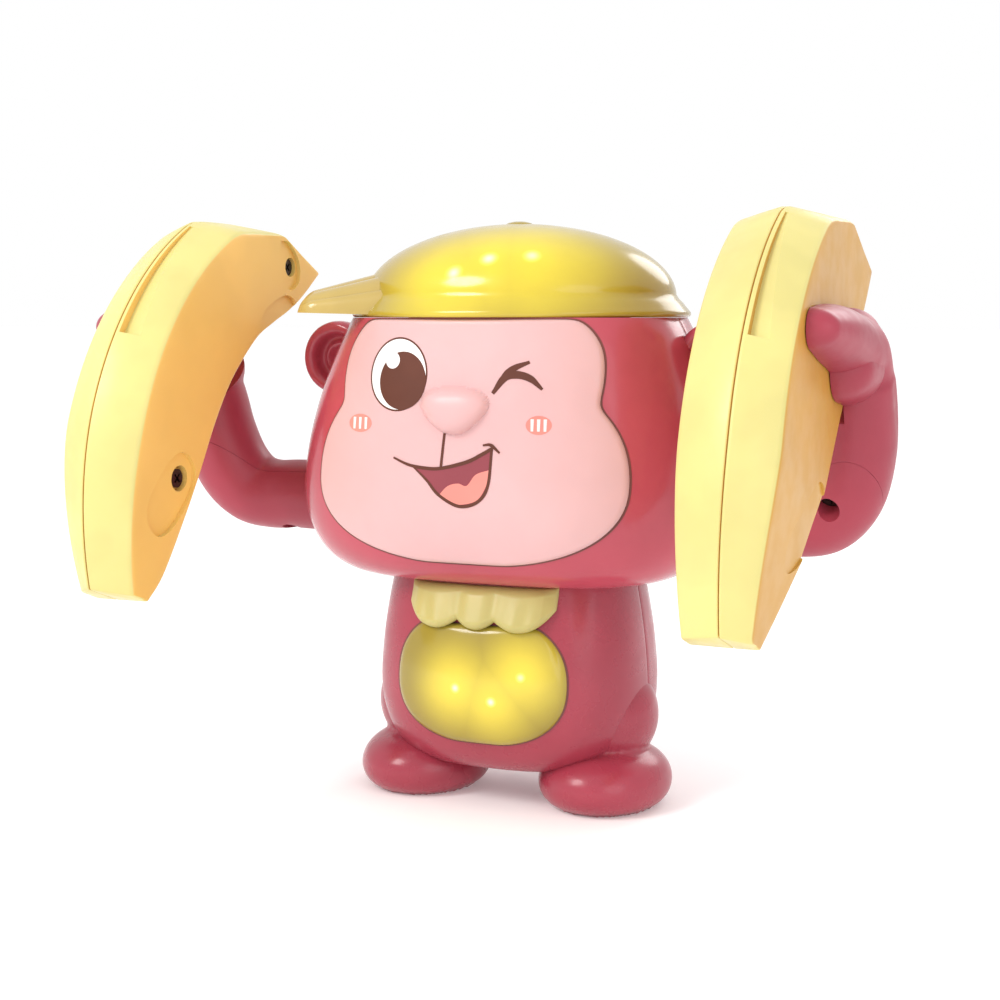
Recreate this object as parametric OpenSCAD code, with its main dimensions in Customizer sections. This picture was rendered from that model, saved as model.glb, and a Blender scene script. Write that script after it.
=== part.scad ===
// Battery-powered tumbling monkey with two bananas.
// Its arms turn without limit about one axle through the head; the round edges of the bananas
// meet the floor, lift the toy and tip it over. Millimetres, +Z up, the face looks along -Y.

/* [Overall] */
// Height of the arm axle above the floor
axle_z = 83; // [82:0.5:84]
// Reach of the bananas' round edge from the arm axle
reach = 90; // [88:0.5:91]
// Forward tilt of the raised arms, in degrees
arm_tilt = 45; // [0:5:90]

/* [Head] */
// Half of the head's greatest width
head_hw = 62; // [60:0.5:62]
// Half of the head's depth
head_hd = 42; // [40:0.5:43]
// Height of the head's flat underside
chin_z = 63.5; // [63.5:0.5:64]
// Height of the head's flat top, under the cap
crown_z = 137; // [136:0.5:138]
// Wall thickness of the moulded shells
wall = 2; // [1.8:0.1:2.2]

/* [Cap] */
// Half of the cap's width at its rim
cap_hw = 50; // [49:0.5:51]
// Half of the cap's depth at its rim
cap_hd = 41.5; // [40:0.5:41.5]
// Height of the dome's top
dome_z = 163; // [160:1:164]

/* [Body] */
// Half of the body's greatest width
body_hw = 39.5; // [38:0.5:40]
// Half of the body's depth
body_hd = 31; // [30:0.5:32]
// Height of the body's flat underside
belly_z = 10; // [9:0.5:11]

/* [Feet] */
// Distance of each foot's centre from the middle plane
foot_x = 28; // [26:0.5:29]
// Half of each foot's width
foot_hw = 18.5; // [17:0.5:19]
// Height of each foot
foot_h = 17.5; // [17:0.5:18]

/* [Arms and bananas] */
// Distance of the arm's root from the middle plane
root_x = 62.8; // [62.8:0.1:63.5]
// Radius of the arm at its root
arm_r = 10.5; // [10:0.5:11]
// Distance of the bananas' inner face from the middle plane
banana_in = 73.5; // [72.5:0.5:74]
// Thickness of each banana
banana_t = 25; // [22:0.5:25]

/* [Gear train] */
// Gear module
gear_m = 0.6; // [0.6:0.1:0.6]
// Teeth on each large wheel
wheel_n = 40; // [40:1:40]
// Teeth on each pinion
pinion_n = 10; // [10:1:10]
// Radius of the arm axle
axle_r = 2; // [1.8:0.1:2]

/* [Hidden] */
$fn = 64;

rose = [0.74, 0.28, 0.38];
face_pink = [0.96, 0.80, 0.81];
gold = [0.86, 0.80, 0.15];
lemon = [0.97, 0.93, 0.55];
peel = [0.96, 0.78, 0.45];
steel = [0.72, 0.72, 0.74];
board_green = [0.13, 0.42, 0.25];

eps = 0.01;               // overreach of a cut past the face it opens
fit = 0.05;               // radial clearance of a running fit
snug = 0.02;              // radial clearance of a pressed or screwed fit
seam = 0.15;              // gap between neighbouring mouldings
y_shift = (reach - head_hd) / 2;  // puts the origin under the middle of the whole toy

// ---------------------------------------------------------------- helpers

// Puts a part drawn about the body's own axis into the toy's frame.
module placed() {
    translate([0, y_shift, 0]) children();
}

// Turns a part drawn with the arms straight up into the rest pose of the arms.
module on_arms() {
    placed() translate([0, 0, axle_z]) rotate([arm_tilt, 0, 0]) children();
}

// Mirrors a part drawn for the right side to the side given.
module on_side(side) {
    mirror([side < 0 ? 1 : 0, 0, 0]) children();
}

// Lays a shape drawn along Z along X: its x becomes Y and its y becomes Z.
module along_x() {
    rotate([90, 0, 90]) children();
}

// A rod along X from x0 to x1 with its axis at (y, z).
module rod_x(r, x0, x1, y = 0, z = 0) {
    translate([x0, y, z]) rotate([0, 90, 0]) cylinder(r = r, h = x1 - x0);
}

// A rod along Y from y0 to y1 with its axis at (x, z).
module rod_y(r, y0, y1, x = 0, z = 0) {
    translate([x, y1, z]) rotate([90, 0, 0]) cylinder(r = r, h = y1 - y0);
}

// A screw with its tip at the origin and its head at z = length.
module screw(length, shank_r = 1.3, head_r = 2.6, head_h = 1.8) {
    difference() {
        union() {
            cylinder(r = shank_r, h = length, $fn = 24);
            translate([0, 0, length]) cylinder(r = head_r, h = head_h, $fn = 32);
        }
        for (a = [0, 90])
            rotate([0, 0, a]) translate([-head_r * 0.6, -0.3, length + head_h / 2])
                cube([head_r * 1.2, 0.6, head_h]);
    }
}

function signed_pow(v, p) = v < 0 ? -pow(-v, p) : pow(v, p);
function mix(a, b, t) = a + (b - a) * t;
function clamp01(t) = min(1, max(0, t));

// Depth of a superellipse with half-width hw, half-depth hd and exponent n at distance x.
function super_depth(x, hw, hd, n) = hd * pow(max(0, 1 - pow(min(1, abs(x) / hw), n)), 1 / n);

// Half a ring, from +X round the back to -X. A ring is [z, half-width, half-depth, exponent].
function half_ring(ring, m) = [for (j = [0:m]) let (a = 180 * j / m)
    [ring[1] * signed_pow(cos(a), 2 / ring[3]), ring[2] * pow(sin(a), 2 / ring[3]), ring[0]]];
function whole_ring(ring, m) = [for (j = [0:m - 1]) let (a = 360 * j / m)
    [ring[1] * signed_pow(cos(a), 2 / ring[3]), ring[2] * signed_pow(sin(a), 2 / ring[3]),
     ring[0]]];

// A solid through a stack of whole rings.
module loft(rings, m = 48) {
    last = len(rings) - 1;
    points = [for (ring = rings) each whole_ring(ring, m)];
    sides = [for (k = [0:last - 1]) for (j = [0:m - 1]) let (i = (j + 1) % m)
        [k * m + j, (k + 1) * m + j, (k + 1) * m + i, k * m + i]];
    polyhedron(points, concat(sides, [[for (j = [0:m - 1]) j],
        [for (j = [m - 1:-1:0]) last * m + j]]), convexity = 4);
}

// The back half of a hollow shell between two stacks of rings, closed at top and bottom.
module half_shell(outer, inner, m = 22) {
    n = m + 1;
    last = len(outer) - 1;
    base = n * len(outer);
    points = concat([for (ring = outer) each half_ring(ring, m)],
        [for (ring = inner) each half_ring(ring, m)]);
    skin_out = [for (k = [0:last - 1]) for (j = [0:m - 1])
        [k * n + j, (k + 1) * n + j, (k + 1) * n + j + 1, k * n + j + 1]];
    skin_in = [for (k = [0:last - 1]) for (j = [0:m - 1]) let (b = base + k * n + j)
        [b, b + 1, b + n + 1, b + n]];
    caps = [[for (j = [0:m]) j], [for (j = [m:-1:0]) last * n + j],
        [for (j = [m:-1:0]) base + j], [for (j = [0:m]) base + last * n + j]];
    parting = [for (k = [0:last - 1]) each [
        [k * n, base + k * n, base + (k + 1) * n, (k + 1) * n],
        [k * n + m, (k + 1) * n + m, base + (k + 1) * n + m, base + k * n + m]]];
    ends = [[0, m, base + m, base],
        [last * n, base + last * n, base + last * n + m, last * n + m]];
    polyhedron(points, concat(skin_out, skin_in, caps, parting, ends), convexity = 6);
}

// A closed plate between two grids of points, each listed from the bottom row up.
module plate(front, back) {
    rows = len(front);
    cols = len(front[0]);
    base = rows * cols;
    points = concat([for (row = front) each row], [for (row = back) each row]);
    skins = [for (k = [0:rows - 2]) for (i = [0:cols - 2]) let (f = k * cols + i) each [
        [f, f + cols, f + cols + 1, f + 1],
        [base + f, base + f + 1, base + f + cols + 1, base + f + cols]]];
    top = (rows - 1) * cols;
    ends = [for (i = [0:cols - 2]) each [[i, i + 1, base + i + 1, base + i],
        [top + i, base + top + i, base + top + i + 1, top + i + 1]]];
    sides = [for (k = [0:rows - 2]) let (l = k * cols, r = k * cols + cols - 1) each [
        [base + l, base + l + cols, l + cols, l], [r, r + cols, base + r + cols, base + r]]];
    polyhedron(points, concat(skins, ends, sides), convexity = 4);
}

// ---------------------------------------------------------------- head

head_wide_z = 90;         // height at which the head is widest
chin_flat = 0.62;         // share of the width and depth that the underside keeps
crown_hw = 48;            // half-width and half-depth of the flat top
crown_hd = 39;
corner_n = 2.9;           // squareness of the head seen from above
chin_steps = 6;
crown_steps = 6;

function chin_share(s) = chin_flat + (1 - chin_flat) * pow(max(0, 1 - pow(s, 2.3)), 1 / 2.3);
function crown_drop(u) = pow(u, 1.8);

// Half-width and half-depth of the head's outer surface at height z.
function head_hw_at(z) = z < head_wide_z
    ? head_hw * chin_share(clamp01((head_wide_z - z) / (head_wide_z - chin_z)))
    : mix(head_hw, crown_hw, crown_drop((z - head_wide_z) / (crown_z - head_wide_z)));
function head_hd_at(z) = z < head_wide_z
    ? head_hd * chin_share(clamp01((head_wide_z - z) / (head_wide_z - chin_z)))
    : mix(head_hd, crown_hd, crown_drop((z - head_wide_z) / (crown_z - head_wide_z)));
function head_n_at(z) = mix(corner_n, 2.4, clamp01((z - head_wide_z) / (crown_z - head_wide_z)));
function head_front(x, z) = super_depth(x, head_hw_at(z), head_hd_at(z), head_n_at(z));

// Rings of the head's surface, moved inwards by g.
function head_rings(g) = [
    for (k = [0:chin_steps]) let (s = cos(90 * k / chin_steps),
        z = head_wide_z - (head_wide_z - chin_z) * s)
        [mix(z, z + g, s), head_hw_at(z) - g, head_hd_at(z) - g, corner_n],
    for (k = [1:crown_steps]) let (u = k / crown_steps, z = mix(head_wide_z, crown_z, u))
        [z - g * u, head_hw_at(z) - g, head_hd_at(z) - g, head_n_at(z)]];

ear_x = 59;               // centre of each ear
ear_z = 125;
ear_r = 11;
ear_t = 8;
ear_peg_r = 3;
bush_r = 4.5;             // bush in the head's wall round the arm axle
head_boss = [[44, 74], [42, 126]];   // distance from the middle and height of the head's bosses
boss_r = 3.4;
pilot_r = 1.3;
head_screw_depth = 9;     // how far a case screw reaches past the parting plane
screw_head_r = 2.6;
neck_screw_x = 26;        // neck screws, through the body's top into the head's floor

module head_cuts() {
    for (side = [-1, 1]) {
        rod_x(bush_r + snug, side > 0 ? 50 : -70, side > 0 ? 70 : -50, 0, axle_z);
        rod_x(ear_peg_r + snug, side > 0 ? 40 : -60, side > 0 ? 60 : -40, 0, ear_z);
        translate([side * neck_screw_x, 10, 0])
            cylinder(r = pilot_r + snug, h = chin_z + wall + eps, $fn = 24);
    }
}

// A boss along Y from the shell's wall to the parting plane. The depth is the outer surface's
// least depth over the boss, so that the boss stays inside the wall.
module case_boss(x, z, depth) {
    rod_y(boss_r, 0, depth - wall / 4, x, z);
}

module head_half() {
    half_shell(head_rings(0), head_rings(wall));
    for (side = [-1, 1], b = head_boss)
        case_boss(side * b[0], b[1], min(head_front(b[0] + boss_r, b[1] - boss_r),
            head_front(b[0] + boss_r, b[1] + boss_r)));
}

module head_front_shell() {
    color(rose) placed() difference() {
        mirror([0, 1, 0]) head_half();
        head_cuts();
        for (side = [-1, 1], b = head_boss)
            rod_y(pilot_r + snug, -head_screw_depth - 1, eps, side * b[0], b[1]);
    }
}

module head_back_shell() {
    color(rose) placed() difference() {
        head_half();
        head_cuts();
        for (side = [-1, 1], b = head_boss) {
            rod_y(pilot_r + snug, -eps, head_hd + 5, side * b[0], b[1]);
            rod_y(screw_head_r + 0.3, 8, head_hd + 5, side * b[0], b[1]);
        }
    }
}

// Half-width of the face at height z: a wide lobe for the cheeks and a narrower one above.
cheek_hw = 45.5;
cheek_z = 95;
brow_hw = 40.5;
brow_z = 122;
face_z0 = 70.5;
face_z1 = 136.5;
face_rise = 1;            // how far the face plate stands proud of the head
nose_z = 112;
nose_rise = 2.6;

function lobe(z, mid, down, up, hw, n) = let (t = abs(z - mid) / (z < mid ? down : up))
    hw * pow(max(0, 1 - pow(min(1, t), n)), 1 / n);
function face_hw(z) = max(3, lobe(z, cheek_z, 25, 32, cheek_hw, 2.3),
    lobe(z, brow_z, 24, 22, brow_hw, 2.4));
function nose(x, z) = nose_rise * pow(max(0, 1 - pow(x / 9.8, 2) - pow((z - nose_z) / 5.8, 2)), 0.6);
face_rows = 26;
face_cols = 20;
function face_grid(off, with_nose) = [for (k = [0:face_rows])
    let (z = mix(face_z0, face_z1, (1 - cos(180 * k / face_rows)) / 2), hw = face_hw(z))
    [for (i = [0:face_cols]) let (x = hw * (2 * i / face_cols - 1))
        [x, -head_front(x, z) - off - (with_nose ? nose(x, z) : 0), z]]];

module face_plate() {
    color(face_pink) placed() plate(face_grid(face_rise, true), face_grid(seam, false));
}

// An ear drawn for the right side: a dished disc with a peg into the head's wall.
module ear(side) {
    color(rose) placed() on_side(side) difference() {
        union() {
            rod_y(ear_r, -ear_t / 2, ear_t / 2, ear_x, ear_z);
            rod_x(ear_peg_r, 46, 58, 0, ear_z);
        }
        rod_y(ear_r - 2.6, -ear_t, -ear_t / 2 + 2.2, ear_x, ear_z);
        ear_side_cut();
    }
}

// The slanting side of the head that each ear lies against, with room for the peg.
module ear_side_cut() {
    low = ear_z - 14;
    high = ear_z + 12;
    depth = 20;
    difference() {
        rotate([90, 0, 0]) translate([0, 0, -depth])
            linear_extrude(2 * depth)
                polygon([[20, low], [head_hw_at(low) + 0.5, low], [head_hw_at(ear_z) + 0.5, ear_z],
                    [crown_hw + 0.5, high], [20, high]]);
        rod_x(ear_peg_r, 46, 60, 0, ear_z);
    }
}

// ---------------------------------------------------------------- cap

band_h = 4.5;             // height of the rim band
cap_wall = 1.8;
dome_steps = 14;

// Outer outline of the cap, from the rim up to the top, moved inwards by g.
function cap_outline(g) = let (rise = dome_z - crown_z - band_h - g) concat(
    [[0, crown_z - g], [cap_hw - g, crown_z - g], [cap_hw - g, crown_z + band_h - 1],
     [cap_hw - 1.6 - g, crown_z + band_h]],
    [for (k = [1:dome_steps]) let (a = 90 * k / dome_steps)
        [(cap_hw - 1.6 - g) * cos(a), crown_z + band_h + rise * pow(sin(a), 1.05)]]);

module cap_solid(g) {
    scale([1, (cap_hd - g) / (cap_hw - g), 1]) rotate_extrude($fn = 96)
        polygon(cap_outline(g));
}

module cap_dome() {
    color(gold, 0.8) placed() difference() {
        cap_solid(0);
        cap_solid(cap_wall);
        translate([0, 0, dome_z - 6]) cylinder(r = 2 + snug, h = 10, $fn = 32);
    }
}

brim_turn = 25;           // how far the brim points forward of straight sideways
brim_tip = 67;            // distance of the brim's tip from the middle
brim_root_hw = 17;
brim_tip_hw = 11;
brim_ribs = 5;

module cap_brim() {
    color(gold) placed() rotate([0, 0, 180 + brim_turn]) difference() {
        union() {
            hull() {
                for (s = [-1, 1]) {
                    translate([36, s * (brim_root_hw - 2), crown_z + 1])
                        cylinder(r = 2, h = 9, $fn = 24);
                    translate([brim_tip - 3, s * (brim_tip_hw - 3), crown_z + 2])
                        cylinder(r = 3, h = 2.5, $fn = 24);
                }
            }
            for (i = [0:brim_ribs - 1]) let (t = i / (brim_ribs - 1) * 2 - 1)
                hull() {
                    translate([36, t * (brim_root_hw - 3), crown_z + 9.6])
                        sphere(r = 1.6, $fn = 16);
                    translate([brim_tip - 4, t * (brim_tip_hw - 3), crown_z + 4.2])
                        sphere(r = 1.2, $fn = 16);
                }
        }
        rotate([0, 0, -180 - brim_turn]) cap_clearance();
    }
}

// The cap's outer shape, slightly enlarged, that the brim is cut back from.
module cap_clearance() {
    grow = 1 + 0.2 / cap_hw;
    translate([0, 0, crown_z - 1]) scale([grow, cap_hd / cap_hw * grow, 1])
        cylinder(r = cap_hw, h = band_h + 1, $fn = 96);
    translate([0, 0, crown_z + band_h]) scale([grow, cap_hd / cap_hw * grow,
        (dome_z - crown_z - band_h + 0.3) / cap_hw]) sphere(r = cap_hw, $fn = 96);
}

module cap_button() {
    color(gold) placed() {
        translate([0, 0, dome_z - 5]) cylinder(r = 2, h = 5.5, $fn = 32);
        translate([0, 0, dome_z]) cylinder(r1 = 5, r2 = 3.4, h = 2, $fn = 48);
    }
}

board_t = 1.6;
cap_led_xy = [[-20, -12], [0, -18], [20, -12], [0, 14]];
led_r = 2.5;

module cap_led_board() {
    color(board_green) placed() translate([0, 0, crown_z])
        cylinder(r = 32, h = board_t);
}

// A round light-emitting diode standing on z = 0.
module led() {
    cylinder(r = led_r + 0.4, h = 1, $fn = 32);
    cylinder(r = led_r, h = 6, $fn = 32);
    translate([0, 0, 6]) sphere(r = led_r, $fn = 32);
}

module cap_leds() {
    color("gold") placed() for (p = cap_led_xy)
        translate([p[0], p[1], crown_z + board_t]) led();
}

// ---------------------------------------------------------------- body

body_wide_z = 34;         // height at which the body is widest
neck_hw = 36;             // half-width and half-depth of the flat top under the head
neck_hd = 27;
belly_flat = 0.55;        // share of the width and depth that the underside keeps
body_n = 2.6;             // squareness of the body seen from above
belly_steps = 6;
chest_steps = 5;

function belly_share(s) = belly_flat + (1 - belly_flat) * pow(max(0, 1 - pow(s, 2.2)), 1 / 2.2);
function body_hw_at(z) = z < body_wide_z
    ? body_hw * belly_share(clamp01((body_wide_z - z) / (body_wide_z - belly_z)))
    : mix(body_hw, neck_hw, pow((z - body_wide_z) / (chin_z - body_wide_z), 1.7));
function body_hd_at(z) = z < body_wide_z
    ? body_hd * belly_share(clamp01((body_wide_z - z) / (body_wide_z - belly_z)))
    : mix(body_hd, neck_hd, pow((z - body_wide_z) / (chin_z - body_wide_z), 1.7));
function body_front(x, z) = super_depth(x, body_hw_at(z), body_hd_at(z), body_n);

function body_rings(g) = [
    for (k = [0:belly_steps]) let (s = cos(90 * k / belly_steps),
        z = body_wide_z - (body_wide_z - belly_z) * s)
        [mix(z, z + g, s), body_hw_at(z) - g, body_hd_at(z) - g, body_n],
    for (k = [1:chest_steps]) let (u = k / chest_steps, z = mix(body_wide_z, chin_z, u))
        [z - g * u, body_hw_at(z) - g, body_hd_at(z) - g, body_n]];

body_boss = [[27, 57], [19, 16]];   // distance from the middle and height of the body's bosses
window_r = 14;            // round window behind the belly lens
window_z = 37;
door_hw = 25;             // battery door in the back
door_z0 = 22;
door_z1 = 52;
door_boss_y = 28.5;       // end of the boss that the door is screwed to
door_screw_z = 36.75;
switch_z = 57;            // slot of the power switch
switch_x = 0;
switch_travel = 4;
speaker_r = 13;
grille_hole_r = 1;

leg_screw_xy = [19, -5];   // screw up through each sole into the body's floor
leg_screw_z = 5;          // seat of its head

module body_cuts() {
    // Sound holes under the speaker
    for (r = [0, 4, 8], a = [0:r == 0 ? 360 : 60:359])
        translate([r * cos(a), r * sin(a), belly_z - 1])
            cylinder(r = grille_hole_r, h = wall + 2, $fn = 16);
    for (side = [-1, 1]) {
        translate([side * neck_screw_x, 10, chin_z - wall - 1])
            cylinder(r = pilot_r + snug, h = wall + 2, $fn = 24);
        translate([side * leg_screw_xy[0], leg_screw_xy[1], belly_z - 1])
            cylinder(r = pilot_r + snug, h = wall + 1.5, $fn = 24);
    }
}

module body_half() {
    half_shell(body_rings(0), body_rings(wall));
    for (side = [-1, 1], b = body_boss)
        case_boss(side * b[0], b[1], min(body_front(b[0] + boss_r, b[1] - boss_r),
            body_front(b[0] + boss_r, b[1] + boss_r)));
}

module body_front_shell() {
    color(rose) placed() difference() {
        mirror([0, 1, 0]) body_half();
        body_cuts();
        rod_y(window_r, -body_hd - 5, -body_hd / 2, 0, window_z);
        for (side = [-1, 1], b = body_boss)
            rod_y(pilot_r + snug, -9, eps, side * b[0], b[1]);
    }
}

module body_back_shell() {
    color(rose) placed() difference() {
        body_half();
        body_cuts();
        translate([-door_hw, body_hd / 2, door_z0])
            cube([2 * door_hw, body_hd, door_z1 - door_z0]);
        translate([switch_x - 3.2, 20, switch_z - 1.8])
            cube([6.4 + switch_travel, 20, 3.6]);
        for (side = [-1, 1], b = body_boss) {
            rod_y(pilot_r + snug, -eps, body_hd + 5, side * b[0], b[1]);
            rod_y(screw_head_r + 0.3, 8, body_hd + 5, side * b[0], b[1]);
        }
    }
}

// The lens lies on the body's front round the window, and bulges out in the middle.
lens_hw = 25.5;
lens_z0 = 19.5;
lens_z1 = 52.5;
lens_bulge = 2.2;
lens_edge = 1.2;
lens_rows = 18;
lens_cols = 18;
function lens_hw_at(z) = max(4, lobe(z, 37, 17.8, 20, lens_hw, 2.3));
function lens_grid(front) = [for (k = [0:lens_rows])
    let (z = mix(lens_z0, lens_z1, (1 - cos(180 * k / lens_rows)) / 2), hw = lens_hw_at(z))
    [for (i = [0:lens_cols]) let (x = hw * (2 * i / lens_cols - 1),
        swell = max(0, 1 - pow(x / lens_hw, 2) - pow((z - 37) / 19, 2)))
        [x, -body_front(x, z) - (front ? lens_edge + lens_bulge * swell : seam), z]]];

module belly_lens() {
    color([0.92, 0.86, 0.20], 0.85) placed() plate(lens_grid(true), lens_grid(false));
}

belly_board_y = -20;
belly_led_xz = [[-8, 36], [1, 31], [8, 39]];

module belly_led_board() {
    color(board_green) placed() {
        translate([-16, belly_board_y, 26]) cube([32, board_t, 22]);
        for (side = [-1, 1])
            rod_y(2, belly_board_y + board_t - eps, box_y0, side * 12, 44);
    }
}

module belly_leds() {
    color("gold") placed() for (p = belly_led_xz)
        translate([p[0], belly_board_y, p[1]]) rotate([90, 0, 0]) led();
}

// The bow tie hangs from under the chin in three scallops, in front of the lens' top edge.
bow_hw = 23;
bow_z1 = 63.2;
bow_t = 3.2;
bow_rows = 8;
bow_cols = 30;
function bow_bottom(x) = let (t = abs(x)) t < 5.5 ? 51.3 + 2.4 * pow(t / 5.5, 2)
    : 53.7 - 2.6 * sin(90 * clamp01((t - 5.5) / 6)) + 5 * pow(clamp01((t - 12) / 11), 2);
function bow_bump(x, t) = bow_t * (0.55 + 0.45 * abs(cos(180 * x / 11))) * pow(sin(20 + 140 * t), 0.5);
function bow_grid(front) = [for (k = [0:bow_rows]) [for (i = [0:bow_cols])
    let (x = bow_hw * (2 * i / bow_cols - 1), t = k / bow_rows,
        z = mix(bow_bottom(x), bow_z1, t), back = mix(4, 0.3, clamp01((z - 54.5) / 2)))
    [x, -body_front(x, z) - back - (front ? bow_bump(x, t) : 0), z]]];

module bow_tie() {
    color([0.95, 0.90, 0.55]) placed() plate(bow_grid(true), bow_grid(false));
}

// ---------------------------------------------------------------- legs

foot_y = -3.5;              // middle of each foot, front to back
foot_hl = 22;             // half of each foot's length
sole_r = 12;              // half-width of the flat sole

function foot_outline() = concat([[0, 0]],
    [for (a = [-90:15:0]) [mix(sole_r, foot_hw, cos(a)), 7 + 7 * sin(a)]],
    [for (a = [15:15:90]) [foot_hw * pow(cos(a), 0.8), 7 + (foot_h - 7) * sin(a)]]);

// A leg drawn for the right side: foot and thigh, cut back to lie against the body.
module leg(side) {
    color(rose) placed() on_side(side) difference() {
        union() {
            translate([foot_x, foot_y, 0]) scale([1, foot_hl / foot_hw, 1])
                rotate_extrude($fn = 48) polygon(foot_outline());
            translate([foot_x + 1.5, -2, 26]) scale([1, 1.05, 0.98]) sphere(r = 16.5, $fn = 48);
        }
        loft(body_rings(-seam));
        translate([0, -50, -eps]) cube([seam, 100, 60]);
        translate([leg_screw_xy[0], leg_screw_xy[1], -eps])
            cylinder(r = pilot_r + snug, h = 20, $fn = 24);
        translate([leg_screw_xy[0], leg_screw_xy[1], -eps])
            cylinder(r = screw_head_r + 0.3, h = leg_screw_z + eps, $fn = 32);
    }
}

module leg_screws() {
    color(steel) placed() for (side = [-1, 1])
        translate([side * leg_screw_xy[0], leg_screw_xy[1], belly_z + wall + 0.3])
            rotate([180, 0, 0]) screw(belly_z + wall + 0.3 - leg_screw_z);
}

// ---------------------------------------------------------------- battery box and electrics

cell_r = 7.1;             // AA cell, without its button end
cell_l = 49;
cell_x0 = -23.1;          // flat end of each cell
cell_yz = [[9, 29], [9, 44.5], [-6.5, 36.75]];
box_hw = 29;              // box that holds the three cells, open at the back
box_wall = 1.3;
box_y0 = -15;
box_y1 = 17;
box_z0 = 19.5;
box_z1 = 52.5;
contact_x = box_hw - box_wall;
contact_t = 0.5;

module battery_box() {
    color([0.2, 0.2, 0.22]) placed() difference() {
        union() {
            difference() {
                translate([-box_hw, box_y0, box_z0])
                    cube([2 * box_hw, box_y1 - box_y0, box_z1 - box_z0]);
                for (c = cell_yz)
                    rod_x(cell_r + 0.3, -box_hw + box_wall, box_hw - box_wall, c[0], c[1]);
                translate([-box_hw + box_wall, cell_yz[0][0], cell_yz[0][1] - cell_r])
                    cube([2 * (box_hw - box_wall), 20, cell_yz[1][1] - cell_yz[0][1] + 2 * cell_r]);
            }
            rod_y(3, 10, door_boss_y, 0, door_screw_z);
        }
        rod_y(pilot_r + snug, 14, door_boss_y + 1, 0, door_screw_z);
        for (c = cell_yz)
            rod_x(cell_r + 0.3, -5, 5, c[0], c[1]);
    }
}

// The battery door follows the body's back.
door_rows = 8;
door_cols = 12;
function door_grid(g) = [for (k = [0:door_rows])
    let (z = mix(door_z0 + seam, door_z1 - seam, k / door_rows))
    [for (i = [0:door_cols]) let (x = (door_hw - seam) * (2 * i / door_cols - 1))
        [x, g - body_front(x, z), z]]];

module battery_door() {
    color(rose) placed() difference() {
        mirror([0, 1, 0]) plate(door_grid(0), door_grid(wall));
        rod_y(pilot_r + snug, door_boss_y - 1, door_boss_y + 6, 0, door_screw_z);
        rod_y(screw_head_r + 0.2, body_hd - 1.2, body_hd + 1, 0, door_screw_z);
    }
}

module batteries() {
    color([0.25, 0.55, 0.35]) placed() for (c = cell_yz) {
        rod_x(cell_r, cell_x0, cell_x0 + cell_l, c[0], c[1]);
        rod_x(2.7, cell_x0 + cell_l - eps, contact_x - contact_t, c[0], c[1]);
    }
}

module battery_contacts() {
    color(steel) placed() for (side = [-1, 1], c = cell_yz) on_side(side)
        rod_x(5.5, contact_x - contact_t, contact_x, c[0], c[1]);
}

module battery_springs() {
    coil_r = 0.4;
    turns = 4;
    first = -contact_x + contact_t + coil_r;
    pitch = (cell_x0 - coil_r - first) / (turns - 1);
    color(steel) placed() for (c = cell_yz, i = [0:turns - 1])
        translate([first + i * pitch, c[0], c[1]]) rotate([0, 90, 0])
            rotate_extrude($fn = 32) translate([4.4 - i * 0.6, 0]) circle(r = coil_r, $fn = 16);
}

module power_switch() {
    color([0.15, 0.15, 0.16]) placed() {
        translate([switch_x - 3, 24.5, switch_z - 1.6]) cube([6, 5, 3.2]);
        for (i = [-1:1])
            translate([switch_x + i * 1.8 - 0.4, 29.3, switch_z - 1.6]) cube([0.8, 0.8, 3.2]);
    }
}

module switch_housing() {
    color(steel) placed() translate([switch_x - 6, 18.5, switch_z - 3]) cube([16, 5.8, 6]);
}

module speaker() {
    color([0.1, 0.1, 0.1]) placed() difference() {
        translate([0, 0, belly_z + wall]) union() {
            cylinder(r = speaker_r, h = 3);
            translate([0, 0, 3]) cylinder(r = 8, h = 3);
        }
        translate([0, 0, belly_z + wall - eps]) cylinder(r1 = 10, r2 = 4, h = 2);
    }
}

main_board_y = -31;

module main_board() {
    color(board_green) placed() {
        translate([-26, main_board_y, 92]) cube([52, board_t, 30]);
        for (p = [[-14, 106, 12, 8], [8, 98, 8, 8], [10, 112, 6, 4]])
            translate([p[0], main_board_y + board_t - eps, p[1]]) cube([p[2], 1.8, p[3]]);
        for (side = [-1, 1])
            rod_y(2, wall + 0.8 - head_front(21, 107), main_board_y + eps, side * 21, 107);
    }
}

// ---------------------------------------------------------------- gear train

pressure = 25;
backlash = 0.12;
wheel_pr = gear_m * wheel_n / 2;
pinion_pr = gear_m * pinion_n / 2;
pin_r = 1;

// Centres (y, z) of the train, each one centre distance from the one before it.
out_c = [0, axle_z];
second_c = out_c + (wheel_pr + pinion_pr) * [0.6, 0.8];
first_c = second_c + (wheel_pr + pinion_pr) * [0.6, 0.8];
motor_c = first_c + (wheel_pr + pinion_pr) * [-0.6, 0.8];

plate_x0 = 0;             // inner faces and thickness of the two gearbox plates
plate_x1 = 18;
plate_t = 2;

function inv(a) = tan(a) * 180 / PI - a;
function bearing(from, to) = atan2(to[1] - from[1], to[0] - from[0]);

// Half-angle of an involute tooth of a gear with n teeth at radius r.
function tooth_half(n, r) = let (pr = gear_m * n / 2, base = pr * cos(pressure))
    90 / n + inv(pressure) - inv(acos(min(1, base / r))) - backlash / 4 / pr * 180 / PI;

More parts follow.
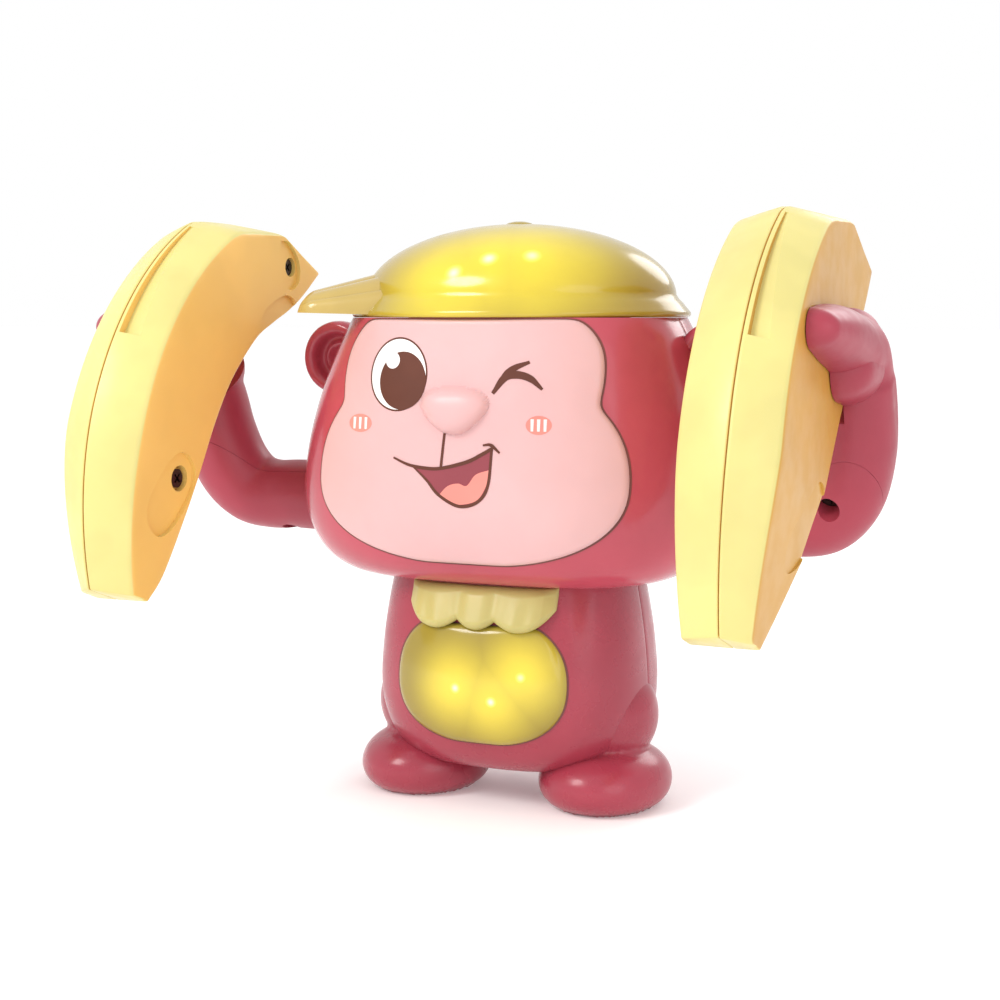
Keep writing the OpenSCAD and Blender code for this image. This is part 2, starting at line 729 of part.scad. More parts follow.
// Outline of a gear with n teeth, one of them centred on the bearing given.
function gear_outline(n, turn) = let (pr = gear_m * n / 2, tip = pr + 0.9 * gear_m,
        root = pr - 1.15 * gear_m, foot = max(root + 0.05, pr * cos(pressure)), steps = 3)
    [for (i = [0:n - 1]) let (mid = turn + 360 * i / n) each concat(
        [let (a = mid - tooth_half(n, foot)) root * [cos(a), sin(a)]],
        [for (s = [0:steps]) let (r = mix(foot, tip, s / steps), a = mid - tooth_half(n, r))
            r * [cos(a), sin(a)]],
        [for (s = [steps:-1:0]) let (r = mix(foot, tip, s / steps), a = mid + tooth_half(n, r))
            r * [cos(a), sin(a)]],
        [let (a = mid + tooth_half(n, foot)) root * [cos(a), sin(a)]])];

// A gear along X from x0 to x1, about the centre c.
module gear(n, turn, x0, x1, c) {
    translate([x0, c[0], c[1]]) along_x() linear_extrude(x1 - x0)
        polygon(gear_outline(n, turn));
}

half_gap = 180 / pinion_n;   // turns a pinion so that a gap faces the wheel it meets

module output_gear() {
    color("white") placed() difference() {
        union() {
            gear(wheel_n, bearing(out_c, second_c), 11.5, 15.5, out_c);
            rod_x(4.5, 15.5 - eps, 17.5, 0, axle_z);
        }
        rod_x(axle_r + snug, 5, 20, 0, axle_z);
    }
}

module second_gear() {
    color("white") placed() difference() {
        union() {
            gear(wheel_n, bearing(second_c, first_c), 7.5, 10.5, second_c);
            gear(pinion_n, bearing(second_c, out_c) + half_gap, 10.4, 16, second_c);
        }
        rod_x(pin_r + fit, 2, 20, second_c[0], second_c[1]);
    }
}

module first_gear() {
    color("white") placed() difference() {
        union() {
            gear(wheel_n, bearing(first_c, motor_c), 3.5, 6.5, first_c);
            gear(pinion_n, bearing(first_c, second_c) + half_gap, 6.4, 11, first_c);
        }
        rod_x(pin_r + fit, 2, 20, first_c[0], first_c[1]);
    }
}

module motor_pinion() {
    color("gold") placed() {
        gear(pinion_n, bearing(motor_c, first_c) + half_gap, 3, 7, motor_c);
        rod_x(1, -8, 3 + eps, motor_c[0], motor_c[1]);
    }
}

motor_r = 10;

module motor() {
    color(steel) placed() difference() {
        union() {
            rod_x(motor_r, -25, -eps, motor_c[0], motor_c[1]);
            rod_x(3, -27, -24, motor_c[0], motor_c[1]);
            rod_x(3, -1, 1.9, motor_c[0], motor_c[1]);
        }
        rod_x(1 + fit, -9, 3, motor_c[0], motor_c[1]);
    }
}

plate_y0 = -11;           // outline of the gearbox plates
plate_y1 = 31;
plate_foot_y = 22;
plate_shoulder_z = 76;
plate_top = 131;
post_yz = [[-7, 68.5], [22, 73], [-7, 127], [27, 125]];
post_r = 2.6;

module gearbox_plate(x0, motor_hole) {
    color([0.85, 0.85, 0.83]) placed() difference() {
        translate([x0, 0, 0]) along_x() linear_extrude(plate_t) polygon([
            [plate_y0, chin_z + wall], [plate_foot_y, chin_z + wall],
            [plate_y1, plate_shoulder_z], [plate_y1, plate_top], [plate_y0, plate_top]]);
        rod_x(axle_r + fit, x0 - 1, x0 + 4, 0, axle_z);
        for (c = [first_c, second_c])
            rod_x(pin_r + snug, x0 - 1, x0 + 4, c[0], c[1]);
        for (p = post_yz)
            rod_x(1.2 + snug, x0 - 1, x0 + 4, p[0], p[1]);
        if (motor_hole)
            rod_x(3 + snug, x0 - 1, x0 + 4, motor_c[0], motor_c[1]);
    }
}

module gearbox_posts() {
    color([0.85, 0.85, 0.83]) placed() difference() {
        for (p = post_yz)
            rod_x(post_r, plate_x0 + plate_t, plate_x1, p[0], p[1]);
        for (p = post_yz)
            rod_x(1.2 + snug, plate_x1 - 8, plate_x1 + 1, p[0], p[1]);
    }
}

module gearbox_screws() {
    color(steel) placed() for (p = post_yz)
        translate([plate_x1 - 7, p[0], p[1]]) rotate([0, 90, 0])
            screw(plate_t + 7, 1.2, 2.2, 1.4);
}

module gear_pins() {
    color(steel) placed() for (c = [first_c, second_c])
        rod_x(pin_r, plate_x0, plate_x1 + plate_t, c[0], c[1]);
}

axle_end = 74;            // half of the axle's length

module drive_axle() {
    color(steel) placed() rod_x(axle_r, -axle_end, axle_end, 0, axle_z);
}

module axle_bushes() {
    color([0.9, 0.9, 0.88]) placed() for (side = [-1, 1]) on_side(side) difference() {
        union() {
            rod_x(bush_r, 55, 62.2, 0, axle_z);
            rod_x(bush_r + 2, 54, 56, 0, axle_z);
        }
        rod_x(axle_r + fit, 50, 65, 0, axle_z);
    }
}

// ---------------------------------------------------------------- arms

elbow_x = 84;             // start of the elbow
elbow_bend = 16;          // bend radius of the elbow
forearm_lean = 24;        // backward lean of the forearm, in degrees
arm_wall = 2.2;
hand_x0 = 98.7;           // flat side of the hand, against the banana
hand_x1 = 109.5;
hub_x1 = 76;              // end of the hub round the axle
root_screw = [74.6, -5.5];  // x and z of the screw below the axle, put in from the front
root_seat = -3.5;
elbow_screw = [93.5, 12];   // on the left it is put in from the back instead
elbow_seat = -1.5;
elbow_seat_back = 6.2;
arm_screw_len = 9;

// Outside of an arm drawn for the right side with the arms straight up; g moves it inwards.
module arm_tube(g) {
    rod_x(arm_r - g, root_x + g, elbow_x);
    rotate([-forearm_lean, 0, 0]) translate([elbow_x, 0, elbow_bend]) rotate([-90, 0, 0])
        rotate_extrude(angle = 90, $fn = 48) translate([elbow_bend, 0])
            circle(r = arm_r - 0.5 - g, $fn = 40);
}

// A finger or the palm: a rounded bar from a to b in the hand's plane.
module finger(a, b, r) {
    mid = (hand_x0 + hand_x1) / 2;
    hull()
        for (p = [a, b])
            translate([mid, p[0], p[1]]) scale([(hand_x1 - hand_x0) / 2 / r, 1, 1])
                sphere(r = r, $fn = 24);
}

// Hand and forearm beyond the elbow.
module hand() {
    c = cos(forearm_lean);
    s = sin(forearm_lean);
    wrist = [elbow_bend * s, elbow_bend * c];
    intersection() {
        union() {
            hull() {
                translate([elbow_x + elbow_bend, wrist[0], wrist[1]])
                    sphere(r = arm_r - 0.5, $fn = 32);
                translate([elbow_x + elbow_bend, 20, 38]) sphere(r = arm_r, $fn = 32);
            }
            finger([21, 45], [19, 54], 11.5);
            finger([19, 52], [0, 72], 6);
            finger([18, 46], [8, 48], 7.5);
            finger([24, 50], [22, 60], 5.5);
        }
        hand_limits();
    }
}

// Keeps the hand outside the banana and inside the toy's width.
module hand_limits() {
    translate([elbow_x, -30, -10]) cube([hand_x1 - elbow_x, 80, 42]);
    translate([hand_x0, -30, 31]) cube([hand_x1 - hand_x0, 80, 60]);
}

module arm_solid() {
    arm_tube(0);
    hand();
}

module arm_bores(side) {
    rod_x(pilot_r + snug, hand_x0 - 1, banana_out - banana_wall + hand_screw_len + 0.5,
        hand_screw_yz[0], hand_screw_yz[1]);
    rod_x(axle_r + snug, root_x - 1, axle_end + 0.5);
    screw_bore(root_screw, root_seat, 1);
    screw_bore(elbow_screw, side > 0 ? elbow_seat : elbow_seat_back, side);
}

// Bore and recess of an arm screw with its head at y = seat, facing -Y, or +Y if way is -1.
module screw_bore(spot, seat, way) {
    tip = seat + way * (arm_screw_len + 0.2);
    out = seat - way * 25;
    rod_y(pilot_r + snug, min(tip, out), max(tip, out), spot[0], spot[1]);
    rod_y(screw_head_r + 0.3, min(seat, out), max(seat, out), spot[0], spot[1]);
}

// The arm's hollow, with the axle's hub and the screw bosses left standing in it.
module arm_hollow() {
    difference() {
        intersection() {
            arm_tube(arm_wall);
            translate([root_x, -30, -30]) cube([elbow_x + 7 - root_x, 60, 60]);
        }
        rod_x(5, root_x - 1, hub_x1);
        for (p = [root_screw, elbow_screw])
            rod_y(3.6, -20, 20, p[0], p[1]);
    }
}

module arm_front_shell(side) {
    color(rose) on_arms() on_side(side) difference() {
        intersection() {
            arm_tube(0);
            translate([root_x - 1, -20, -20]) cube([elbow_x + 16 - root_x, 20, 50]);
        }
        arm_hollow();
        arm_bores(side);
    }
}

module arm_back_shell(side) {
    color(rose) on_arms() on_side(side) difference() {
        arm_solid();
        translate([root_x - 2, -20 - eps, -20]) cube([elbow_x + 17 - root_x, 20 + eps, 50]);
        arm_hollow();
        arm_bores(side);
    }
}

module arm_screws() {
    color(steel) on_arms() for (side = [-1, 1]) {
        translate([side * root_screw[0], root_seat + arm_screw_len, root_screw[1]])
            rotate([90, 0, 0]) screw(arm_screw_len);
        translate([side * elbow_screw[0], (side > 0 ? elbow_seat : elbow_seat_back)
            + side * arm_screw_len, elbow_screw[1]]) rotate([side * 90, 0, 0])
            screw(arm_screw_len);
    }
}

// ---------------------------------------------------------------- bananas

ridge_share = 0.544;        // how much of the thickness lies inside the parting line
ridge_drop = 5;           // how much lower the round edge is at the flat faces
// Hollow side, as [y, z] along the inner face and along the outer face.
hollow_in = [[62, 35.2], [38, 43.4], [28, 47.4], [18, 50.2], [3, 51.8], [-14, 50], [-29, 46.2],
    [-44, 41.8], [-60, 36.5], [-80, 29]];
hollow_out = [[62, 33.8], [38, 35], [3, 35.2], [-22, 34.4], [-48, 32.6], [-80, 29]];
banana_wall = 1.8;
stalk_end = [[31, 85], [47.4, 68.6], [57.3, 37.5]];
tip_end = [[-75, 49], [-69.5, 36.5]];
ridge_x = banana_in + ridge_share * banana_t;
banana_out = banana_in + banana_t;

// Outline of the two cut ends, moved inwards by g.
function banana_ends(g) = [[-reach, reach], stalk_end[0] + [-5, 5] - [0.7, 0.7] * g,
    stalk_end[1] - [g, 0.5 * g], [stalk_end[2][0] - 1.1 * g, stalk_end[2][1] + g],
    [36, 33.5 + g], [36, 24], [-60, 24], tip_end[1] + [0.9 * g, g], tip_end[0] + [g, 0.4 * g],
    [-reach, tip_end[0][1] + 0.4 * g]];

// What the slanting hollow side takes away, raised by g.
module hollow_side(g) {
    hull() {
        translate([banana_in - 0.02, 0, 0]) hollow_slice(hollow_in, g);
        translate([banana_in - 3, 0, 0]) hollow_slice(hollow_in, g);
        translate([banana_out, 0, 0]) hollow_slice(hollow_out, g);
        translate([banana_out + 3, 0, 0]) hollow_slice(hollow_out, g);
    }
}

module hollow_slice(line, g) {
    along_x() linear_extrude(0.02)
        polygon(concat([[62, 5]], [for (p = line) [p[0], p[1] + g]], [[-80, 5]]));
}

// A whole banana drawn for the right side with the arms straight up.
module banana_solid(g) {
    difference() {
        intersection() {
            rotate([0, 90, 0]) rotate_extrude($fn = 120) polygon([
                [10, banana_in + g], [reach - ridge_drop - g, banana_in + g],
                [reach - g, ridge_x], [reach - ridge_drop - g, banana_out - g],
                [10, banana_out - g]]);
            translate([banana_in - 1, 0, 0]) along_x() linear_extrude(banana_t + 2)
                polygon(banana_ends(g));
        }
        hollow_side(1.2 * g);
    }
}

banana_screw_yz = [[-37, 51], [47, 51]];
hand_screw_yz = [18, 52];   // screw from inside the banana into the hand
hand_screw_len = 10;

module banana_inner(side) {
    color(peel) on_arms() on_side(side) difference() {
        union() {
            difference() {
                banana_solid(0);
                banana_solid(banana_wall);
            }
            intersection() {
                banana_solid(banana_wall / 2);
                union() {
                    for (p = banana_screw_yz)
                        rod_x(4, banana_in + 0.5, banana_out, p[0], p[1]);
                }
            }
        }
        translate([ridge_x, -100, 0]) cube([30, 200, 100]);
        for (p = banana_screw_yz) {
            rod_x(pilot_r + snug, banana_in - 1, ridge_x + 1, p[0], p[1]);
            rod_x(screw_head_r + 0.3, banana_in - 1, banana_in + 4, p[0], p[1]);
        }
    }
}

module banana_outer(side) {
    color(lemon) on_arms() on_side(side) difference() {
        union() {
            difference() {
                banana_solid(0);
                banana_solid(banana_wall);
            }
            intersection() {
                banana_solid(banana_wall / 2);
                union() {
                    for (p = banana_screw_yz)
                        rod_x(4, banana_in, banana_out - 0.5, p[0], p[1]);
                }
            }
        }
        translate([banana_in - 5, -100, 0]) cube([ridge_x - banana_in + 5, 200, 100]);
        for (p = banana_screw_yz)
            rod_x(pilot_r + snug, ridge_x - 1, ridge_x + 6, p[0], p[1]);
        rod_x(pilot_r + snug, ridge_x, banana_out + 1, hand_screw_yz[0], hand_screw_yz[1]);
    }
}

module hand_screws() {
    tip = banana_out - banana_wall + hand_screw_len;
    color(steel) on_arms() for (side = [-1, 1]) on_side(side)
        translate([tip, hand_screw_yz[0], hand_screw_yz[1]]) rotate([0, -90, 0])
            screw(hand_screw_len);
}

module banana_screws() {
    reach_in = ridge_x - banana_in - 4 + 5;
    color(steel) on_arms() for (side = [-1, 1], p = banana_screw_yz)
        on_side(side) translate([banana_in + 4 + reach_in, p[0], p[1]]) rotate([0, -90, 0])
            screw(reach_in);
}

// ---------------------------------------------------------------- case screws

// Screws put in from the back at the bosses given; their heads sit 8 mm behind the parting plane.
module screws_from_back(bosses) {
    color(steel) placed() for (side = [-1, 1], b = bosses)
        translate([side * b[0], -head_screw_depth + 1, b[1]]) rotate([-90, 0, 0])
            screw(head_screw_depth + 7);
}

module neck_screws() {
    color(steel) placed() for (side = [-1, 1])
        translate([side * neck_screw_x, 10, chin_z - wall]) screw(2 * wall, 1.3, 2.6, 1.4);
}

module door_screw() {
    color(steel) placed() translate([0, 15, door_screw_z]) rotate([-90, 0, 0])
        screw(body_hd - 1.2 - 15, 1.3, 2.4, 1);
}

// ---------------------------------------------------------------- whole toy

head_front_shell();
head_back_shell();
face_plate();
ear(-1);  // left_ear
ear(1);  // right_ear
cap_dome();
cap_brim();
cap_button();
cap_led_board();
cap_leds();
body_front_shell();
body_back_shell();
belly_lens();
belly_led_board();
belly_leds();
bow_tie();
leg(-1);  // left_leg
leg(1);  // right_leg
battery_box();
battery_door();
batteries();
battery_contacts();
battery_springs();
power_switch();
switch_housing();
speaker();
main_board();
gearbox_plate(plate_x0, true);  // gearbox_left_plate
gearbox_plate(plate_x1, false);  // gearbox_right_plate
gearbox_posts();
gear_pins();
motor();
motor_pinion();
first_gear();
second_gear();
output_gear();
drive_axle();
axle_bushes();
arm_front_shell(-1);  // left_arm_front_shell
arm_back_shell(-1);  // left_arm_back_shell
arm_front_shell(1);  // right_arm_front_shell
arm_back_shell(1);  // right_arm_back_shell
banana_inner(-1);  // left_banana_inner
banana_outer(-1);  // left_banana_outer
banana_inner(1);  // right_banana_inner
banana_outer(1);  // right_banana_outer
screws_from_back(head_boss);  // head_screws
screws_from_back(body_boss);  // body_screws
neck_screws();
door_screw();
arm_screws();
banana_screws();
hand_screws();
leg_screws();
gearbox_screws();
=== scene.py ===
"""Looks of the tumbling monkey with two bananas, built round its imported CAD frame.

Shapes are worked out in millimetres about the body's own upright axis, with the face along -Y,
and turned into the row frame in metres by placed() and on_arms().
"""
import math
import bmesh
import bpy
import numpy as np
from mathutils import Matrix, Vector


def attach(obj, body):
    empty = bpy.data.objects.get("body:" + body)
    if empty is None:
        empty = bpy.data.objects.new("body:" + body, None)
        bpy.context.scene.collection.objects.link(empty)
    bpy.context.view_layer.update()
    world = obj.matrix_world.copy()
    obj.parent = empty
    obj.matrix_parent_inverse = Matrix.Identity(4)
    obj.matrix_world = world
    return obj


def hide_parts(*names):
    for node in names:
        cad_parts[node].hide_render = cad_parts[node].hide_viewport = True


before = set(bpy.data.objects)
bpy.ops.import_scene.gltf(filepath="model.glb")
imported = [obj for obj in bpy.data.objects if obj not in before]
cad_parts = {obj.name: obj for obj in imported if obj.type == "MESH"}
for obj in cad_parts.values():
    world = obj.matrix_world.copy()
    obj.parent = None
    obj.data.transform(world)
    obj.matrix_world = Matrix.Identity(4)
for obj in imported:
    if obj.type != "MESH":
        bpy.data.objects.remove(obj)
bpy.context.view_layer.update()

MM = 0.001
Y_SHIFT = 24.0            # from the body's axis to the row frame's origin
AXLE_Z = 83.0
ARM_TILT = math.radians(45)
SHARP = math.radians(38)  # edges steeper than this stay crisp

# ---------------- points and meshes


def mix(a, b, t):
    return a + (b - a) * t


def placed(points):
    """Points about the body's own axis, in mm, as row-frame metres."""
    return (np.asarray(points, float) + [0, Y_SHIFT, 0]) * MM


def on_arms(points):
    """Points drawn with the arms straight up about the axle, in mm, as row-frame metres at rest."""
    p = np.asarray(points, float)
    c, s = math.cos(ARM_TILT), math.sin(ARM_TILT)
    y, z = p[..., 1], p[..., 2]
    return placed(np.stack([p[..., 0], c * y - s * z, s * y + c * z + AXLE_Z], -1))


def curve_through(points, count):
    """Catmull-Rom curve through the control points, with count points evenly spaced along it."""
    p = np.asarray(points, float)
    p = np.vstack([2 * p[0] - p[1], p, 2 * p[-1] - p[-2]])
    t = np.linspace(0, 1, 24, endpoint=False)[:, None]
    parts = []
    for a, b, c, d in zip(p, p[1:], p[2:], p[3:]):
        parts.append(0.5 * (2 * b + (c - a) * t + (2 * a - 5 * b + 4 * c - d) * t ** 2
                            + (3 * b - a - 3 * c + d) * t ** 3))
    return resample(np.vstack([*parts, p[-2:-1]]), count)


def resample(line, count):
    """Points evenly spaced along a polyline."""
    step = np.linalg.norm(np.diff(line, axis=0), axis=1)
    s = np.r_[0, np.cumsum(step)]
    at = np.linspace(0, s[-1], count)
    return np.stack([np.interp(at, s, line[:, i]) for i in range(line.shape[1])], -1)


def grid_faces(rows, cols, start, wrap):
    """Quads of a grid of points, in row order from index start."""
    last = cols if wrap else cols - 1
    faces = []
    for k in range(rows - 1):
        for i in range(last):
            j = (i + 1) % cols
            faces.append((start + k * cols + i, start + k * cols + j,
                          start + (k + 1) * cols + j, start + (k + 1) * cols + i))
    return faces


def slab(front, back, wrap=False):
    """Vertices and faces of the closed solid between two grids of points.
    A wrapped grid is a fan of rings, with its first row at the middle."""
    rows, cols = front.shape[:2]
    base = rows * cols
    verts = np.vstack([front.reshape(-1, 3), back.reshape(-1, 3)])
    faces = grid_faces(rows, cols, 0, wrap) + [f[::-1] for f in grid_faces(rows, cols, base, wrap)]
    edge = [(rows - 1) * cols + i for i in range(cols)]
    if not wrap:
        edge += [k * cols + cols - 1 for k in range(rows - 2, -1, -1)]
        edge += [i for i in range(cols - 2, -1, -1)]
        edge += [k * cols for k in range(1, rows - 1)]
    for a, b in zip(edge, edge[1:] + edge[:1]):
        faces.append((a, b, base + b, base + a))
    return verts, faces


def band(rings):
    """Vertices and faces of a closed ring-shaped solid: each ring is a loop of points, and the
    last one joins the first."""
    grid = np.concatenate([rings, rings[:1]])
    rows, cols = grid.shape[:2]
    return grid.reshape(-1, 3), grid_faces(rows, cols, 0, True)


def tube(rings):
    """Vertices and faces of a solid through a stack of loops of points, with flat ends."""
    rows, cols = rings.shape[:2]
    faces = grid_faces(rows, cols, 0, True)
    faces.append(tuple(range(cols - 1, -1, -1)))
    faces.append(tuple((rows - 1) * cols + i for i in range(cols)))
    return rings.reshape(-1, 3), faces


def rod(a, b, radius, sides=32):
    """A round rod from a to b."""
    a, b = np.asarray(a, float), np.asarray(b, float)
    along = (b - a) / np.linalg.norm(b - a)
    other = np.array([0, 0, 1.0]) if abs(along[2]) < 0.9 else np.array([1.0, 0, 0])
    u = np.cross(along, other)
    u /= np.linalg.norm(u)
    v = np.cross(along, u)
    turn = np.linspace(0, 2 * np.pi, sides, endpoint=False)[:, None]
    loop = radius * (np.cos(turn) * u + np.sin(turn) * v)
    return tube(np.stack([a + loop, b + loop]))


def oval_rod(centre, axis_long, half_long, half_short, x0, x1):
    """A rod along X with a stadium-shaped section, lying in the (y, z) plane."""
    sides = 40
    long = np.asarray(axis_long, float) / np.linalg.norm(axis_long)
    short = np.array([-long[1], long[0]])
    turn = np.linspace(0, 2 * np.pi, sides, endpoint=False)
    c = np.sign(np.cos(turn)) * np.abs(np.cos(turn)) ** 0.8
    s = np.sign(np.sin(turn)) * np.abs(np.sin(turn)) ** 0.8
    loop = np.asarray(centre) + np.outer(c * half_long, long) + np.outer(s * half_short, short)
    return tube(np.stack([np.c_[np.full(sides, x), loop] for x in (x0, x1)]))


def blob(centre, radii, rows=18, cols=28):
    """An ellipsoid."""
    a = np.linspace(-np.pi / 2, np.pi / 2, rows)[:, None]
    b = np.linspace(0, 2 * np.pi, cols, endpoint=False)[None, :]
    ball = np.stack([np.cos(a) * np.cos(b), np.cos(a) * np.sin(b), np.sin(a) + 0 * b], -1)
    grid = np.asarray(centre) + ball * np.asarray(radii)
    return grid.reshape(-1, 3), grid_faces(rows, cols, 0, True)


def joined(*parts):
    """Several (vertices, faces) as one."""
    verts, faces, start = [], [], 0
    for v, f in parts:
        verts.append(np.asarray(v, float))
        faces += [tuple(i + start for i in face) for face in f]
        start += len(v)
    return np.vstack(verts), faces


def tidy(mesh, sharp=SHARP):
    """Merges doubled points, turns the faces outwards and keeps steep edges crisp."""
    bm = bmesh.new()
    bm.from_mesh(mesh)
    bmesh.ops.remove_doubles(bm, verts=bm.verts, dist=2e-6)
    bmesh.ops.dissolve_degenerate(bm, edges=bm.edges, dist=1e-7)
    bmesh.ops.recalc_face_normals(bm, faces=bm.faces)
    for face in bm.faces:
        face.smooth = True
    for edge in bm.edges:
        edge.smooth = len(edge.link_faces) == 2 and edge.calc_face_angle(0.0) < sharp
    bm.to_mesh(mesh)
    bm.free()


def solid(name, shape, place=placed, sharp=SHARP):
    """A new object from (vertices, faces) in mm."""
    mesh = bpy.data.meshes.new(name)
    mesh.from_pydata(place(shape[0]).tolist(), [], shape[1])
    tidy(mesh, sharp)
    obj = bpy.data.objects.new(name, mesh)
    bpy.context.scene.collection.objects.link(obj)
    return obj


def apply_modifiers(obj, sharp=SHARP):
    graph = bpy.context.evaluated_depsgraph_get()
    old = obj.data
    obj.data = bpy.data.meshes.new_from_object(obj.evaluated_get(graph))
    obj.modifiers.clear()
    bpy.data.meshes.remove(old)
    obj.data.name = obj.name
    tidy(obj.data, sharp)


def combine_with(obj, operation, tool, sharp=SHARP, use_self=True):
    """Adds the object tool to obj, cuts it out or keeps what they share, and deletes tool."""
    change = obj.modifiers.new("combine", "BOOLEAN")
    change.operation = operation
    change.object = tool
    change.solver = "EXACT"
    change.use_self = use_self
    bpy.context.view_layer.update()
    apply_modifiers(obj, sharp)
    bpy.data.objects.remove(tool)


def combine(obj, operation, shape, place=placed, sharp=SHARP):
    """The same with a shape: operation is UNION, DIFFERENCE or INTERSECT."""
    combine_with(obj, operation, solid("tool", shape, place), sharp)


def blended(name, shape, voxel, smoothing, place):
    """One smooth skin round overlapping solids."""
    obj = solid(name, shape, place)
    remesh = obj.modifiers.new("skin", "REMESH")
    remesh.mode = "VOXEL"
    remesh.voxel_size = voxel * MM
    smooth = obj.modifiers.new("smooth", "SMOOTH")
    smooth.factor = 0.5
    smooth.iterations = smoothing
    bpy.context.view_layer.update()
    apply_modifiers(obj)
    return obj


def finish_piece(obj, body, material, slot, *nodes):
    """Gives obj its material, the body it moves with and the CAD nodes it stands for."""
    obj.data.materials.clear()
    obj.data.materials.append(material)
    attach(obj, body)
    if nodes:
        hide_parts(*nodes)
    return obj


# ---------------- materials


class Nodes:
    """A small builder for one material's node tree."""

    def __init__(self, name):
        self.material = bpy.data.materials.new(name)
        self.material.use_nodes = True
        self.tree = self.material.node_tree
        self.shader = self.tree.nodes["Principled BSDF"]
        self.coords = self.tree.nodes.new("ShaderNodeTexCoord")

    def node(self, kind, **settings):
        node = self.tree.nodes.new(kind)
        for key, value in settings.items():
            setattr(node, key, value)
        return node

    def link(self, source, target):
        self.tree.links.new(source, target)

    def set(self, **values):
        for key, value in values.items():
            self.shader.inputs[key.replace("_", " ")].default_value = value

    def noise(self, scale, detail=3.0, stretch=None):
        noise = self.node("ShaderNodeTexNoise")
        noise.inputs["Scale"].default_value = scale
        noise.inputs["Detail"].default_value = detail
        source = self.coords.outputs["Object"]
        if stretch:
            mapping = self.node("ShaderNodeMapping")
            mapping.inputs["Scale"].default_value = stretch
            self.link(source, mapping.inputs["Vector"])
            source = mapping.outputs["Vector"]
        self.link(source, noise.inputs["Vector"])
        return noise.outputs["Fac"]

    def ramp(self, factor, low, high, colours, smooth=True):
        """Colours spread evenly over factor's range from low to high."""
        ramp = self.node("ShaderNodeValToRGB")
        ramp.color_ramp.interpolation = "EASE" if smooth else "LINEAR"
        stops = ramp.color_ramp.elements
        for i, colour in enumerate(colours):
            at = mix(low, high, i / (len(colours) - 1))
            stop = stops[i] if i < 2 else stops.new(at)
            stop.position = at
            stop.color = (*colour, 1)
        self.link(factor, ramp.inputs["Fac"])
        return ramp.outputs["Color"]

    def spread(self, factor, low, high, out_low, out_high):
        """factor's range low..high mapped to out_low..out_high."""
        node = self.node("ShaderNodeMapRange", interpolation_type="SMOOTHSTEP")
        for key, value in (("From Min", low), ("From Max", high), ("To Min", out_low),
                           ("To Max", out_high)):
            node.inputs[key].default_value = value
        self.link(factor, node.inputs["Value"])
        return node.outputs["Result"]

    def math(self, operation, a, b=0.0):
        node = self.node("ShaderNodeMath", operation=operation)
        for socket, value in zip(node.inputs, (a, b)):
            if isinstance(value, (int, float)):
                socket.default_value = value
            else:
                self.link(value, socket)
        return node.outputs[0]

    def blend(self, factor, a, b):
        """Colour a where factor is 0 and b where it is 1."""
        node = self.node("ShaderNodeMix", data_type="RGBA")
        self.link(factor, node.inputs["Factor"])
        for socket, value in ((node.inputs[6], a), (node.inputs[7], b)):
            if isinstance(value, tuple):
                socket.default_value = (*value, 1)
            else:
                self.link(value, socket)
        return node.outputs[2]

    def distance(self, point):
        """Distance from a point in the row frame, in metres."""
        node = self.node("ShaderNodeVectorMath", operation="DISTANCE")
        node.inputs[1].default_value = point
        self.link(self.coords.outputs["Object"], node.inputs[0])
        return node.outputs["Value"]

    def surface(self, colour, rough_low, rough_high, grain=2600.0, depth=0.00002, waves=45.0,
                wave_depth=0.00012):
        """Colour, uneven gloss, moulded grain and the faint sink waves of a moulding."""
        self.link(colour, self.shader.inputs["Base Color"])
        patchy = self.spread(self.noise(160.0, 5.0), 0.3, 0.7, rough_low, rough_high)
        self.link(patchy, self.shader.inputs["Roughness"])
        wave = self.node("ShaderNodeBump")
        wave.inputs["Distance"].default_value = wave_depth
        wave.inputs["Strength"].default_value = 0.5
        self.link(self.noise(waves, 1.0), wave.inputs["Height"])
        fine = self.node("ShaderNodeBump")
        fine.inputs["Distance"].default_value = depth
        fine.inputs["Strength"].default_value = 0.6
        self.link(self.noise(grain, 2.0), fine.inputs["Height"])
        self.link(wave.outputs["Normal"], fine.inputs["Normal"])
        self.link(fine.outputs["Normal"], self.shader.inputs["Normal"])
        return self.material


def shades(colour, spread):
    """The colour a little darker, as it is, and a little lighter."""
    return [tuple(min(1.0, c * k) for c in colour) for k in (1 - spread, 1.0, 1 + spread)]


def plastic(name, colour, rough=(0.22, 0.34), spread=0.06, coat=0.0, subsurface=0.0, grain=2600.0,
            depth=0.00002):
    """Moulded plastic: a little uneven in colour and gloss."""
    n = Nodes(name)
    tone = n.ramp(n.noise(38.0, 3.0), 0.35, 0.65, shades(colour, spread))
    n.set(Coat_Weight=coat, Coat_Roughness=0.12, Specular_IOR_Level=0.38)
    if subsurface:
        n.set(Subsurface_Weight=subsurface, Subsurface_Radius=(0.004, 0.002, 0.0015),
              Subsurface_Scale=1.0)
    return n.surface(tone, rough[0], rough[1], grain, depth)


def printed(name, colour):
    """Pad-printed ink, slightly mottled."""
    return plastic(name, colour, (0.35, 0.5), spread=0.10, grain=5200.0, depth=0.00001)


